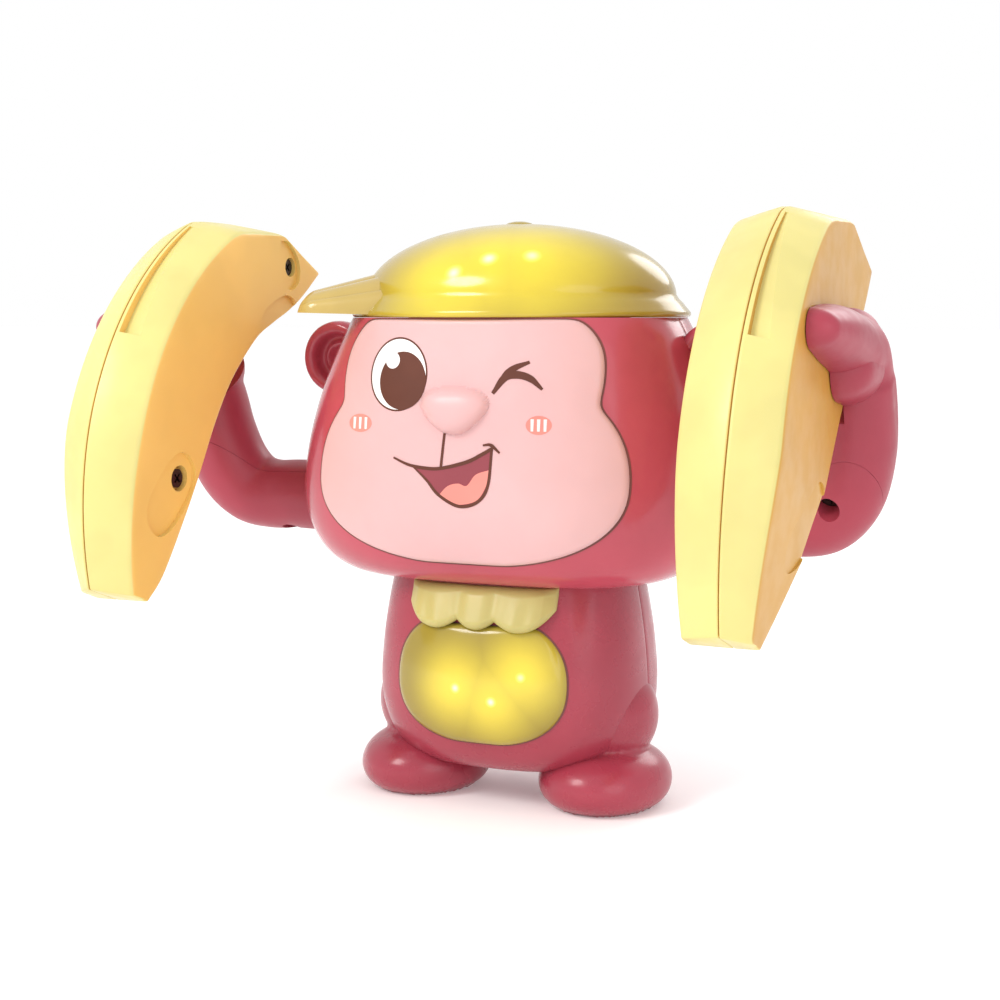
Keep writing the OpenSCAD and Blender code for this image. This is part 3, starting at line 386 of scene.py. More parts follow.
def banana_plastic(name, flat, edge):
    """Orange flat sides, as painted shade, and a pale yellow rounded outer edge."""
    n = Nodes(name)
    side = n.node("ShaderNodeSeparateXYZ")
    n.link(n.coords.outputs["Normal"], side.inputs["Vector"])
    # Where the normal runs along X, the flat sides take the orange colour as painted shade; the
    # rounded edge away from the axle keeps the plastic's pale yellow.
    facing = n.spread(n.math("ABSOLUTE", side.outputs["X"]), 0.84, 0.95, 1.0, 0.0)
    where = n.node("ShaderNodeSeparateXYZ")
    n.link(n.coords.outputs["Object"], where.inputs["Vector"])
    up = n.math("SUBTRACT", where.outputs["Z"], AXLE_Z * MM)
    back = n.math("SUBTRACT", where.outputs["Y"], Y_SHIFT * MM)
    squares = n.math("ADD", n.math("MULTIPLY", up, up), n.math("MULTIPLY", back, back))
    outer = n.spread(n.math("SQRT", squares), 0.058, 0.084, 0.12, 1.0)
    tone_shaded_flat = n.ramp(n.noise(30.0, 3.0), 0.35, 0.65, shades(flat, 0.05))
    tone_edge = n.ramp(n.noise(42.0, 3.0), 0.35, 0.65, shades(edge, 0.05))
    colour = n.blend(n.math("MULTIPLY", facing, outer), tone_shaded_flat, tone_edge)
    n.set(Subsurface_Weight=0.12, Subsurface_Radius=(0.004, 0.003, 0.001), Subsurface_Scale=1.0,
          Coat_Weight=0.05, Coat_Roughness=0.2, Specular_IOR_Level=0.3)
    return n.surface(colour, 0.30, 0.42, 2400.0, 0.000018)


def glowing(name, deep, lit, glow, points, reach, strength, rough):
    """A tinted lens with painted glow: emission and a lighter base colour round the points given,
    in mm, stand in for the light of small lamps behind it, with painted white hot spots at the
    points.
    """
    n = Nodes(name)
    light = None
    painted_hot_spot = None
    for point in points:
        far = n.distance(tuple(placed(point)))
        near = n.spread(far, 0.0, reach * MM, 1.0, 0.0)
        spot = n.spread(far, 0.0, reach * 0.10 * MM, 1.0, 0.0)
        light = near if light is None else n.math("MAXIMUM", light, near)
        painted_hot_spot = spot if painted_hot_spot is None else n.math("MAXIMUM", painted_hot_spot, spot)
    swirl = n.spread(n.noise(55.0, 4.0), 0.3, 0.7, 0.88, 1.06)
    lit_share = n.math("MULTIPLY", light, swirl)
    base = n.blend(lit_share, deep, lit)
    # Painted hot spots: white-hot emission at the points themselves.
    glow_colour = n.blend(painted_hot_spot, glow, (1.0, 0.93, 0.72))
    n.link(glow_colour, n.shader.inputs["Emission Color"])
    power = n.math("ADD", n.math("MULTIPLY", lit_share, strength), n.math("MULTIPLY", painted_hot_spot, 0.9))
    n.link(power, n.shader.inputs["Emission Strength"])
    n.set(Coat_Weight=0.22, Coat_Roughness=0.08, Specular_IOR_Level=0.45)
    return n.surface(base, rough, rough + 0.08, 3200.0, 0.000008, 60.0, 0.00008)


def metal(name, colour, rough=(0.18, 0.38)):
    """Turned or rolled metal, with fine machining marks."""
    n = Nodes(name)
    marks = n.noise(900.0, 3.0, (1.0, 1.0, 0.06))
    tone = n.ramp(marks, 0.3, 0.7, shades(colour, 0.16))
    n.set(Metallic=1.0)
    return n.surface(tone, rough[0], rough[1], 1800.0, 0.000012)


def circuit(name):
    """Solder mask with copper tracks under it."""
    n = Nodes(name)
    tracks = n.node("ShaderNodeTexBrick")
    tracks.inputs["Scale"].default_value = 260.0
    tracks.inputs["Color1"].default_value = (0.02, 0.16, 0.07, 1)
    tracks.inputs["Color2"].default_value = (0.03, 0.20, 0.09, 1)
    tracks.inputs["Mortar"].default_value = (0.10, 0.34, 0.14, 1)
    n.link(n.coords.outputs["Object"], tracks.inputs["Vector"])
    return n.surface(tracks.outputs["Color"], 0.25, 0.4)


def cell_jacket(name):
    """Printed jacket of a cell: a dark length and a coppery end."""
    n = Nodes(name)
    where = n.node("ShaderNodeSeparateXYZ")
    n.link(n.coords.outputs["Object"], where.inputs["Vector"])
    end = n.spread(where.outputs["X"], 0.0115, 0.0120, 0.0, 1.0)
    colour = n.blend(end, (0.03, 0.09, 0.06), (0.55, 0.28, 0.12))
    return n.surface(colour, 0.2, 0.3)


# ---------------- head surface

HEAD_HW, HEAD_HD = 62.0, 42.0
CHIN_Z, HEAD_WIDE_Z, CROWN_Z = 63.5, 90.0, 137.0
CROWN_HW, CROWN_HD = 48.0, 39.0
WALL = 2.0


def super_depth(x, hw, hd, n):
    return hd * np.maximum(0, 1 - np.minimum(1, np.abs(x) / hw) ** n) ** (1 / n)


def lobe(z, mid, down, up, hw, n):
    t = np.abs(z - mid) / np.where(z < mid, down, up)
    return hw * np.maximum(0, 1 - np.minimum(1, t) ** n) ** (1 / n)


def head_size(z):
    """Half-width, half-depth and squareness of the head at height z."""
    z = np.asarray(z, float)
    s = np.clip((HEAD_WIDE_Z - z) / (HEAD_WIDE_Z - CHIN_Z), 0, 1)
    share = 0.62 + 0.38 * np.maximum(0, 1 - s ** 2.3) ** (1 / 2.3)
    u = np.clip((z - HEAD_WIDE_Z) / (CROWN_Z - HEAD_WIDE_Z), 0, 1)
    low = z < HEAD_WIDE_Z
    return (np.where(low, HEAD_HW * share, mix(HEAD_HW, CROWN_HW, u ** 1.8)),
            np.where(low, HEAD_HD * share, mix(HEAD_HD, CROWN_HD, u ** 1.8)), mix(2.9, 2.4, u))


def head_front(x, z):
    return super_depth(x, *head_size(z))


BODY_HW, BODY_HD, NECK_HW, NECK_HD = 39.5, 31.0, 36.0, 27.0
BELLY_Z, BODY_WIDE_Z = 10.0, 34.0


def body_size(z):
    """Half-width, half-depth and squareness of the body at height z."""
    z = np.asarray(z, float)
    s = np.clip((BODY_WIDE_Z - z) / (BODY_WIDE_Z - BELLY_Z), 0, 1)
    share = 0.55 + 0.45 * np.maximum(0, 1 - s ** 2.2) ** (1 / 2.2)
    u = np.clip((z - BODY_WIDE_Z) / (CHIN_Z - BODY_WIDE_Z), 0, 1) ** 1.7
    low = z < BODY_WIDE_Z
    return (np.where(low, BODY_HW * share, mix(BODY_HW, NECK_HW, u)),
            np.where(low, BODY_HD * share, mix(BODY_HD, NECK_HD, u)), 2.6 + 0 * z)


def body_front(x, z):
    return super_depth(x, *body_size(z))


# ---------------- two-part shells

SEAM_STEPS = (0.0, 0.25, 0.8)      # distances from the parting line, in mm
SEAM_INSET = (0.42, 0.10, 0.0)     # how far the surface is drawn in there


def half_ring(hw, hd, n, cols):
    """Half a superellipse from +X round the back to -X, drawn in a little at the parting line."""
    a = np.linspace(0, np.pi, 721)
    x = hw * np.sign(np.cos(a)) * np.abs(np.cos(a)) ** (2 / n)
    y = hd * np.abs(np.sin(a)) ** (2 / n)
    s = np.r_[0, np.cumsum(np.hypot(np.diff(x), np.diff(y)))]
    if s[-1] > 20:
        ends = np.array(SEAM_STEPS)
        at = np.r_[ends, np.linspace(2, s[-1] - 2, cols), s[-1] - ends[::-1]]
        draw = np.r_[SEAM_INSET, np.zeros(cols), SEAM_INSET[::-1]]
    else:
        at = np.linspace(0, s[-1], cols + 6)
        draw = np.zeros(cols + 6)
    px, py = np.interp(at, s, x), np.interp(at, s, y)
    px -= np.sign(px) * draw
    if s[-1] > 20:
        py[0] = py[-1] = 0.05
    return np.c_[px, py]


LOW_ROWS, HIGH_ROWS, SHELL_COLS = 20, 22, 84


def shell_rows(size, z0, wide_z, z1, inset):
    """Rows of points of half a shell, from the middle of its underside to the middle of its top."""
    rings = []
    for share in (0.0, 0.35, 0.65, 0.85, 0.96):
        hw, hd, n = size(z0 + 1e-6)
        rings.append((z0 + inset, (hw - inset) * share, (hd - inset) * share, n))
    for k in range(LOW_ROWS + 1):
        s = math.cos(math.pi / 2 * k / LOW_ROWS)
        z = wide_z - (wide_z - z0) * s
        hw, hd, n = size(z)
        rings.append((z + inset * s, hw - inset, hd - inset, n))
    for k in range(1, HIGH_ROWS + 1):
        u = k / HIGH_ROWS
        z = mix(wide_z, z1, u)
        hw, hd, n = size(z)
        rings.append((z - inset * u, hw - inset, hd - inset, n))
    for share in (0.96, 0.85, 0.6, 0.3, 0.0):
        hw, hd, n = size(z1)
        rings.append((z1 - inset, (hw - inset) * share, (hd - inset) * share, n))
    rows = []
    for z, hw, hd, n in rings:
        loop = half_ring(max(hw, 1e-4), max(hd, 1e-4), float(n), SHELL_COLS)
        rows.append(np.c_[loop, np.full(len(loop), z)])
    return np.array(rows)


def half_shell(size, z0, wide_z, z1, front):
    outer = shell_rows(size, z0, wide_z, z1, 0.0)
    inner = shell_rows(size, z0, wide_z, z1, WALL)
    if front:
        outer[..., 1] *= -1
        inner[..., 1] *= -1
    return slab(outer, inner)


HEAD_BOSSES = ((44, 74), (42, 126))
BODY_BOSSES = ((27, 57), (19, 16))
RECESS_R = 2.9
RECESS_Y = 8.0            # where the heads of the case screws rest


def add_screw_cups(obj, bosses, depth_at, far):
    """Recessed screw seats in a back shell: a boss behind the wall and a hole down to the head."""
    spots = [(side * x, z) for side in (-1, 1) for x, z in bosses]
    combine(obj, "UNION", joined(*[
        rod((x, 3.0, z), (x, depth_at(abs(x) + 3.6, z) - WALL / 2, z), 3.7) for x, z in spots]))
    combine(obj, "DIFFERENCE", joined(
        *[rod((x, RECESS_Y, z), (x, far, z), RECESS_R) for x, z in spots]))
    combine(obj, "DIFFERENCE", joined(
        *[rod((x, -1, z), (x, RECESS_Y + 1, z), 1.35) for x, z in spots]))


def make_head(rose):
    for name, front in (("head_front", True), ("head_back", False)):
        obj = solid(name, half_shell(head_size, CHIN_Z, HEAD_WIDE_Z, CROWN_Z, front))
        if not front:
            add_screw_cups(obj, HEAD_BOSSES, lambda x, z: float(head_front(x, z - 3.6)), 60)
        combine(obj, "DIFFERENCE", rod((-75, 0, AXLE_Z), (75, 0, AXLE_Z), 4.55, 48))
        finish_piece(obj, "torso", rose, "rose_plastic", name + "_shell")


DOOR = (25.0, 22.0, 52.0)   # half-width, lowest and highest edge of the battery door
DOOR_GAP = 0.2
SWITCH_Z = 57.0
GRILLE = [(0.0, 0.0)] + [(r * math.cos(a), r * math.sin(a)) for r in (4.0, 8.0)
                         for a in np.radians(range(0, 360, 60))]


def box(x0, x1, y0, y1, z0, z1):
    loop = np.array([[x0, y0], [x1, y0], [x1, y1], [x0, y1]], float)
    return tube(np.stack([np.c_[loop, np.full(4, z)] for z in (z0, z1)]))


def make_body(rose):
    for name, front in (("body_front", True), ("body_back", False)):
        obj = solid(name, half_shell(body_size, BELLY_Z, BODY_WIDE_Z, CHIN_Z, front))
        if not front:
            add_screw_cups(obj, BODY_BOSSES, lambda x, z: float(body_front(x, z - 3.6)), 50)
            hw, z0, z1 = DOOR
            combine(obj, "DIFFERENCE", joined(
                box(-hw, hw, 15, 40, z0, z1),
                box(-3.2, 7.2, 20, 40, SWITCH_Z - 1.8, SWITCH_Z + 1.8)))
        combine(obj, "DIFFERENCE", joined(
            *[rod((x, y, BELLY_Z - 1), (x, y, BELLY_Z + WALL + 1), 1.0, 16)
              for x, y in GRILLE if (y < -0.5) == front and abs(y) > 0.5]))
        finish_piece(obj, "torso", rose, "rose_plastic", name + "_shell")


def make_battery_door(rose):
    """Curved door with rounded edges, grip ribs and a recess for its screw."""
    hw, z0, z1 = DOOR
    xs = np.linspace(-hw + DOOR_GAP, hw - DOOR_GAP, 72)
    zs = np.linspace(z0 + DOOR_GAP, z1 - DOOR_GAP, 46)
    x, z = np.meshgrid(xs, zs)
    edge = np.minimum(hw - np.abs(x), np.minimum(z - z0, z1 - z))
    rounding = 0.5 * np.exp(-(edge / 0.6) ** 2)
    rib = 0.35 * np.maximum(0, np.sin((z - 42.0) * 2 * np.pi / 2.4)) * ((np.abs(x) < 12) & (z > 43))
    y = body_front(x, z)
    front = np.stack([x, y - rounding + np.minimum(rib, 0.35), z], -1)
    back = np.stack([x, y - WALL, z], -1)
    obj = solid("battery_door_cover", slab(front, back))
    combine(obj, "DIFFERENCE", joined(rod((0, 29.75, 36.75), (0, 40, 36.75), 2.65)))
    combine(obj, "DIFFERENCE", joined(rod((0, 20, 36.75), (0, 30, 36.75), 1.35)))
    finish_piece(obj, "torso", rose, "rose_plastic", "battery_door")


# ---------------- face

FACE_RISE = 1.0
FACE_MID = np.array([0.0, 104.0])
NOSE_RISE = 4.0


def face_half_width(z):
    """Two lobes: the cheeks and the narrower brow above them."""
    cheeks = lobe(z, 93, 23, 32, 46.0, 2.25)
    brow = lobe(z, 121, 22, 22, 38.5, 2.5)
    return np.maximum(3, np.maximum(cheeks, brow))


LENS_HW, LENS_WIDE_Z = 25.4, 36.5


def lens_half_width(z):
    return np.maximum(4, lobe(z, LENS_WIDE_Z, 17.3, 19.5, LENS_HW, 2.35))


def closed_outline(half_width, z0, z1, count, smoothing):
    """A smooth closed loop of (x, z) round a shape given by its half-width at each height."""
    t = np.linspace(0, np.pi, 500)
    z = mix(z0, z1, (1 - np.cos(t)) / 2)
    right = np.c_[half_width(z), z]
    loop = np.vstack([right, right[::-1] * [-1, 1], right[:1]])
    loop = resample(loop, count + 1)[:-1]
    for _ in range(smoothing):
        loop = 0.5 * loop + 0.25 * (np.roll(loop, 1, 0) + np.roll(loop, -1, 0))
    return loop


def edge_rows(count):
    """Shares from the middle to the outline, closer together near the outline."""
    return np.r_[np.linspace(0, 0.955, count), 0.97, 0.981, 0.989, 0.995, 0.9985, 1.0]


NOSE_MID = np.array([-1.2, 112.2])
NOSE_CORNERS = [(-11.2, 113.6), (-9.8, 116.4), (-5.9, 117.9), (-1.2, 118.2), (3.5, 117.9),
                (7.4, 116.4), (8.8, 113.6), (6.2, 109.6), (2.4, 106.7), (-1.2, 105.8),
                (-4.8, 106.7), (-8.6, 109.6)]


def nose_reach():
    """Distance from the nose's middle to its edge, all round."""
    loop = curve_through(NOSE_CORNERS + NOSE_CORNERS[:1], 200) - NOSE_MID
    angle = np.arctan2(loop[:, 1], loop[:, 0])
    order = np.argsort(angle)
    return angle[order], np.hypot(*loop[order].T)


NOSE_ANGLE, NOSE_EDGE = nose_reach()


def nose_height(x, z):
    """A dome on a rounded triangle that points down."""
    dx, dz = np.asarray(x) - NOSE_MID[0], np.asarray(z) - NOSE_MID[1]
    edge = np.interp(np.arctan2(dz, dx), NOSE_ANGLE, NOSE_EDGE, period=2 * np.pi)
    share = np.hypot(dx, dz) / edge
    return NOSE_RISE * np.sqrt(np.maximum(0, 1 - share ** 2.4))


def on_face(x, z, lift=0.0):
    """Points on the face plate's front, raised by lift."""
    x, z = np.asarray(x, float), np.asarray(z, float)
    return np.stack([x, -head_front(x, z) - FACE_RISE - nose_height(x, z) - lift, z], -1)


PLATE_SUNK, GAP_SUNK = 0.4, 0.3   # how far plates and gap lines reach into the shell


def plate_points(loop, mid, rows, edge_radius):
    """x and z all over a plate with this outline, and how far its edge's rounding has risen."""
    shares = edge_rows(rows)[:, None, None]
    flat = mid + shares * (loop - mid)
    inward = (1 - shares[..., 0]) * np.linalg.norm(loop - mid, axis=1)
    rounding = np.sqrt(1 - (1 - np.clip(inward / edge_radius, 0, 1)) ** 2)
    return flat[..., 0], flat[..., 1], rounding


def plate(name, x, z, base, rise):
    """A plate let into the surface at depth base, and standing proud of it by rise."""
    front = np.stack([x, -base - rise, z], -1)
    back = np.stack([x, -base + PLATE_SUNK, z], -1)
    return solid(name, slab(front, back, True))


def gap_line(name, loop, mid, surface, outs, lift):
    """The dark gap round a plate, a strip in painted shadow for the groove, between two outlines
    given as shares out from its own.
    """
    near, far = (mid + (1 + out) * (loop - mid) for out in outs)
    rings = [np.c_[line[:, 0], -surface(line[:, 0], line[:, 1]) - up, line[:, 1]]
             for line, up in ((near, lift), (far, lift), (far, -GAP_SUNK), (near, -GAP_SUNK))]
    return solid(name, band(np.array(rings)))


def make_face(skin, gap):
    loop = closed_outline(face_half_width, 70.5, 136.5, 240, 5)
    x, z, rounding = plate_points(loop, FACE_MID, 52, 1.1)
    face = plate("face_skin", x, z, head_front(x, z), FACE_RISE * rounding + nose_height(x, z))
    finish_piece(face, "torso", skin, "face_plastic", "face_plate")
    line = gap_line("face_gap", loop, FACE_MID, head_front, (-0.004, 0.011), 0.12)
    finish_piece(line, "torso", gap, "face_plastic")


def print_on_face(name, x, z, lift, ink, wrap=False):
    """A thin printed area over a grid of (x, z)."""
    piece = solid(name, slab(on_face(x, z, lift), on_face(x, z, lift - 0.12), wrap))
    return finish_piece(piece, "torso", ink, "face_plastic")


def print_oval(name, centre, half_w, half_h, tilt, lift, ink):
    turn = np.linspace(0, 2 * np.pi, 72, endpoint=False)[None, :]
    share = np.linspace(0, 1, 14)[:, None]
    u, v = half_w * share * np.cos(turn), half_h * share * np.sin(turn)
    c, s = math.cos(tilt), math.sin(tilt)
    print_on_face(name, centre[0] + c * u - s * v, centre[1] + s * u + c * v, lift, ink, True)


def print_line(name, points, widths, lift, ink, count=60):
    """A printed stroke whose width changes along it."""
    line = np.array(points, float)
    line = curve_through(line, count) if len(line) > 2 else resample(line, count)
    along = np.gradient(line, axis=0)
    along /= np.linalg.norm(along, axis=1)[:, None]
    across = np.c_[-along[:, 1], along[:, 0]]
    at = np.linspace(0, 1, len(widths))
    half = np.interp(np.linspace(0, 1, count), at, widths)[:, None] / 2
    sides = [line + across * half * k for k in (-1, 0, 1)]
    grid = np.array(sides)
    print_on_face(name, grid[..., 0], grid[..., 1], lift, ink)


def print_between(name, upper, lower, lift, ink):
    """The printed area between two curves that share their ends."""
    a, b = curve_through(upper, 60), curve_through(lower, 60)
    share = np.linspace(0, 1, 8)[:, None, None]
    grid = a + (b - a) * share
    print_on_face(name, grid[..., 0], grid[..., 1], lift, ink)


LIP = [(-19.2, 99.0), (-14.4, 97.2), (-9.5, 96.5), (-4.7, 96.6), (2.9, 98.5), (7.2, 100.6),
       (10.4, 102.4)]
MOUTH_TOP = [(-13.2, 96.9), (-9.5, 96.5), (-4.7, 96.6), (2.9, 98.5), (7.2, 100.6), (10.2, 102.3)]
MOUTH_LOW = [(-13.2, 96.9), (-8.9, 93.2), (-5.3, 89.4), (0.6, 86.6), (6.0, 87.9), (9.1, 92.3),
             (10.2, 102.3)]
WINK_UPPER = [(19.9, 125.3), (14.8, 122.9), (10.0, 116.9)]
WINK_LOWER = [(10.0, 116.9), (13.2, 121.0), (16.5, 121.9), (20.3, 120.9), (23.6, 118.1)]
LIP_CURL = [(7.6, 103.1), (9.9, 103.2), (12.4, 101.2)]
PHILTRUM = [(-3.7, 106.0), (-4.7, 96.7)]
EYE_MID, EYE_TILT = (-18.7, 121.6), -0.10
BLUSHES = (("left", (-30.8, 108.0), 4.0), ("right", (23.0, 108.7), 3.5))
TONGUE_TOP = [(-5.0, 89.6), (-2.6, 91.9), (0.4, 92.7), (3.0, 92.2), (5.6, 95.2), (9.5, 96.6)]
TONGUE_LOW = [(-5.0, 89.6), (-2.4, 87.8), (0.6, 87.0), (5.8, 88.3), (8.6, 92.2), (9.5, 96.6)]


def print_expression(inks):
    """Round eye, wink, mouth and blush marks."""
    brown = inks["brown"]
    print_oval("eye_line", EYE_MID, 9.3, 10.1, EYE_TILT, 0.05, brown)
    print_oval("eye_white", EYE_MID, 8.8, 9.6, EYE_TILT, 0.09, inks["white"])
    print_oval("eye_iris", (-17.2, 119.9), 7.4, 7.9, EYE_TILT, 0.13, brown)
    print_oval("eye_glint", (-20.6, 125.4), 2.3, 2.3, 0.0, 0.17, inks["white"])
    print_line("wink_upper", WINK_UPPER, (0.8, 2.2, 1.0), 0.07, brown)
    print_line("wink_lower", WINK_LOWER, (0.8, 1.9, 2.1, 1.8, 0.7), 0.10, brown)
    print_line("philtrum", PHILTRUM, (0.7, 0.7), 0.16, brown, 30)
    print_between("mouth", MOUTH_TOP, MOUTH_LOW, 0.06, inks["maroon"])
    print_between("tongue", TONGUE_TOP, TONGUE_LOW, 0.10, inks["salmon"])
    print_line("mouth_edge", MOUTH_LOW, (0.4, 0.8, 0.9, 0.9, 0.8, 0.7), 0.13, brown, 90)
    print_line("lip", LIP, (0.5, 0.9, 0.9, 1.0, 0.9), 0.16, brown)
    print_line("lip_curl", LIP_CURL, (0.5, 0.9, 0.5), 0.18, brown, 30)
    for side, (mid_x, mid_z), half_w in BLUSHES:
        print_oval("blush_" + side, (mid_x, mid_z), half_w, 2.5, 0.0, 0.05, inks["salmon"])
        for i in (-1, 0, 1):
            x = mid_x + i * half_w * 0.5
            print_line(f"blush_stroke_{side}_{i + 1}", [(x, mid_z - 1.6), (x, mid_z + 1.6)],
                       (0.7, 0.9), 0.11, inks["pale"], 8)


# ---------------- ears, cap and its parts


def lathe(profile, axis, scale=(1.0, 1.0), sides=96):
    """A solid of revolution from (radius, height) pairs. The axis is Y or Z, and scale squashes
    its two cross directions."""
    turn = np.linspace(0, 2 * np.pi, sides, endpoint=False)
    r, h = np.array(profile, float).T
    u = r[:, None] * np.cos(turn) * scale[0]
    v = r[:, None] * np.sin(turn) * scale[1]
    w = h[:, None] + 0 * u
    grid = np.stack([u, w, v] if axis == "Y" else [u, v, w], -1)
    return grid.reshape(-1, 3), grid_faces(len(r), sides, 0, True)


EAR_PROFILE = [(0, 4), (7, 4), (9.4, 3.5), (10.6, 2.4), (11, 0.6), (11, -1.4), (10.7, -2.9),
               (10.0, -3.8), (9.0, -4.0), (8.2, -3.8), (7.5, -3.2), (7.1, -2.2), (6.8, -0.6),
               (6.3, 0.5), (5.5, 0.7), (4.9, 0.1), (4.3, -0.4), (3.6, -0.1), (3.0, 0.8),
               (2.2, 1.5), (0, 1.8)]


EAR_X, EAR_Z = 59.0, 125.0


def make_ears(rose):
    verts, faces = lathe(EAR_PROFILE, "Y")
    for name, side in (("left_ear", -1), ("right_ear", 1)):
        dish = (verts + [side * EAR_X, 0, EAR_Z], faces)
        obj = solid(name + "_dish", dish, sharp=math.radians(60))
        finish_piece(obj, "torso", rose, "rose_plastic", name)


CAP_HW, CAP_HD = 50.0, 41.5
DOME_FOOT, DOME_TOP, DOME_R = 143.2, 163.9, 45.8


def cap_profile():
    rim = [(0, 137.05), (40, 137.05), (49.2, 137.1), (49.75, 137.4), (50.0, 137.9), (49.9, 138.5),
           (49.5, 139.0), (49.0, 139.6), (48.4, 140.3), (47.7, 141.2), (47.0, 141.9), (46.5, 142.4)]
    dome = [(DOME_R * math.cos(a), DOME_FOOT + (DOME_TOP - DOME_FOOT) * math.sin(a) ** 1.04)
            for a in np.linspace(0.02, np.pi / 2, 44)]
    return rim + dome


# Centres of the cap's painted glow and painted hot spots, in mm.
CAP_LIGHTS = [(-4.0, -36.0, 149.0), (5.0, -33.0, 153.0), (16.0, -29.0, 153.0)]
BUTTON_PROFILE = [(0, 161.6), (4.9, 161.6), (5.0, 162.4), (4.5, 163.5), (3.4, 164.2),
                  (1.8, 164.6), (0, 164.7)]


def make_cap(gold):
    verts, faces = lathe(cap_profile(), "Z", (1.0, CAP_HD / CAP_HW), 160)
    dome = solid("cap_dome_shell", (verts, faces), sharp=math.radians(50))
    finish_piece(dome, "torso", gold, "cap_plastic", "cap_dome")
    button = solid("cap_button_disc", lathe(BUTTON_PROFILE, "Z", sides=64))
    finish_piece(button, "torso", gold, "cap_plastic", "cap_button")


BRIM_TURN = math.radians(205)
BRIM_ROOT, BRIM_TIP = 33.0, 63.5
BRIM_RIBS = 5


def make_brim(material):
    """A fluted duck-bill brim, high where it leaves the dome and low at its rounded tip."""
    rows = []
    for u in np.r_[np.linspace(BRIM_ROOT, BRIM_TIP - 5, 26), BRIM_TIP - np.array(
            [4, 3, 2.1, 1.4, 0.8, 0.4, 0.15, 0.0])]:
        run = (u - BRIM_ROOT) / (BRIM_TIP - BRIM_ROOT)
        end = math.sqrt(max(0.0, 1 - max(0.0, (u - BRIM_TIP + 5) / 5) ** 2))
        half = mix(16.5, 10.5, run) * mix(0.55, 1, end)
        crest = mix(151.9, 142.9, run)
        foot = mix(137.6, 138.4, run)
        rise = (crest - foot) * max(end, 0.05)
        turn = np.linspace(0, np.pi, 61)
        v = -half * np.cos(turn)
        arch = np.sin(turn) ** 0.85
        flute = 1.25 * np.abs(np.sin(turn * BRIM_RIBS)) ** 0.6 * np.sin(turn) ** 0.5 * end
        top = np.c_[v, foot + rise * arch * 0.90 + flute]
        low = np.c_[half * np.cos(turn[1:-1]), np.full(59, foot)]
        loop = np.vstack([top, low])
        rows.append(np.c_[np.full(len(loop), u), loop])
    verts, faces = tube(np.array(rows))
    c, s = math.cos(BRIM_TURN), math.sin(BRIM_TURN)
    x, y, z = verts.T
    turned = np.c_[c * x - s * y, s * x + c * y, z]
    obj = solid("cap_brim_ribbed", (turned, faces), sharp=math.radians(50))
    finish_piece(obj, "torso", material, "brim_plastic", "cap_brim")


# ---------------- belly lens, bow and legs

LENS_MID = np.array([0.0, 37.0])
# Centres of the belly lens's painted glow and painted hot spots, in mm.
LENS_LIGHTS = [(-4.6, -34, 35.5), (6.0, -34, 32.5), (14.0, -32, 39.5)]


def make_lens(lens, gap):
    loop = closed_outline(lens_half_width, 19.6, 52.5, 180, 6)
    x, z, rounding = plate_points(loop, LENS_MID, 34, 2.0)
    swell = np.maximum(0, 1 - (x / LENS_HW) ** 2 - ((z - LENS_WIDE_Z) / 18) ** 2)
    cover = plate("belly_lens_cover", x, z, body_front(x, z), 1.3 * rounding + 2.1 * swell)
    finish_piece(cover, "torso", lens, "lens_plastic", "belly_lens")
    line = gap_line("lens_gap", loop, LENS_MID, body_front, (-0.006, 0.018), 0.15)
    finish_piece(line, "torso", gap, "lens_plastic")


BOW_HW, BOW_TOP = 22.0, 63.2


def bow_bottom(x):
    """Lower edge of the bow: a knot in the middle and two loops beside it."""
    t = np.abs(x)
    knot = 51.4 + 2.4 * (t / 5.5) ** 2
    loop = 53.8 - 2.6 * np.sin(np.pi / 2 * np.clip((t - 5.5) / 6.5, 0, 1)) \
        + 6.2 * np.clip((t - 12) / 10, 0, 1) ** 2.4
    return np.where(t < 5.5, knot, loop)


def make_bow(cloth):
    """A moulded bow in three soft scallops with faint creases towards the knot."""
    xs = np.linspace(-BOW_HW, BOW_HW, 150)
    ts = np.linspace(0, 1, 34)
    x, t = np.meshgrid(xs, ts)
    z = mix(bow_bottom(x), BOW_TOP, t)
    knot = np.exp(-(x / 4.4) ** 4)
    loops = np.exp(-((np.abs(x) - 13) / 7.0) ** 4)
    crease = 0.22 * np.cos(np.abs(x) * 1.1 - t * 1.6) * np.clip(1 - t, 0, 1) * loops
    edge = np.sqrt(np.clip(np.minimum(t * 1.2, 1 - t) / 0.2, 0, 1)) * np.sqrt(
        np.clip((BOW_HW - np.abs(x)) / 3.0, 0, 1))
    back = mix(2.2, 0.3, np.clip((z - 51) / 10, 0, 1))
    height = (1.5 + 1.2 * knot + 0.9 * loops + crease) * edge
    base = body_front(x, z)
    front = np.stack([x, -base - back - np.maximum(height, 0.0) - 0.05, z], -1)
    rear = np.stack([x, -base - back + 0.3, z], -1)
    bow = solid("bow_tie_folds", slab(front, rear))
    finish_piece(bow, "torso", cloth, "bow_plastic", "bow_tie")


FOOT_R, FOOT_HD, FOOT_WIDE_Z, FOOT_RISE, SOLE_R = 18.5, 22.0, 7, 10.5, 12.0
FOOT_X, FOOT_Y = 28.0, -3.5
THIGH_MID, THIGH_RADII = (27.4, -2.0, 25.0), (15.0, 16.0, 15.4)
SOLE_SCREW = (19, -5)
FLAT_BELOW = 0.45         # the sole is flattened up to here
BODY_SLICE = (62, 63)     # the legs end below this


def foot_profile():
    low = [(mix(SOLE_R, FOOT_R, math.cos(a)), FOOT_WIDE_Z + FOOT_WIDE_Z * math.sin(a))
           for a in np.radians(range(-90, 1, 6))]
    high = [(FOOT_R * math.cos(a) ** 0.8, FOOT_WIDE_Z + FOOT_RISE * math.sin(a))
            for a in np.radians(range(6, 91, 6))]
    return [(0, 0)] + low + high


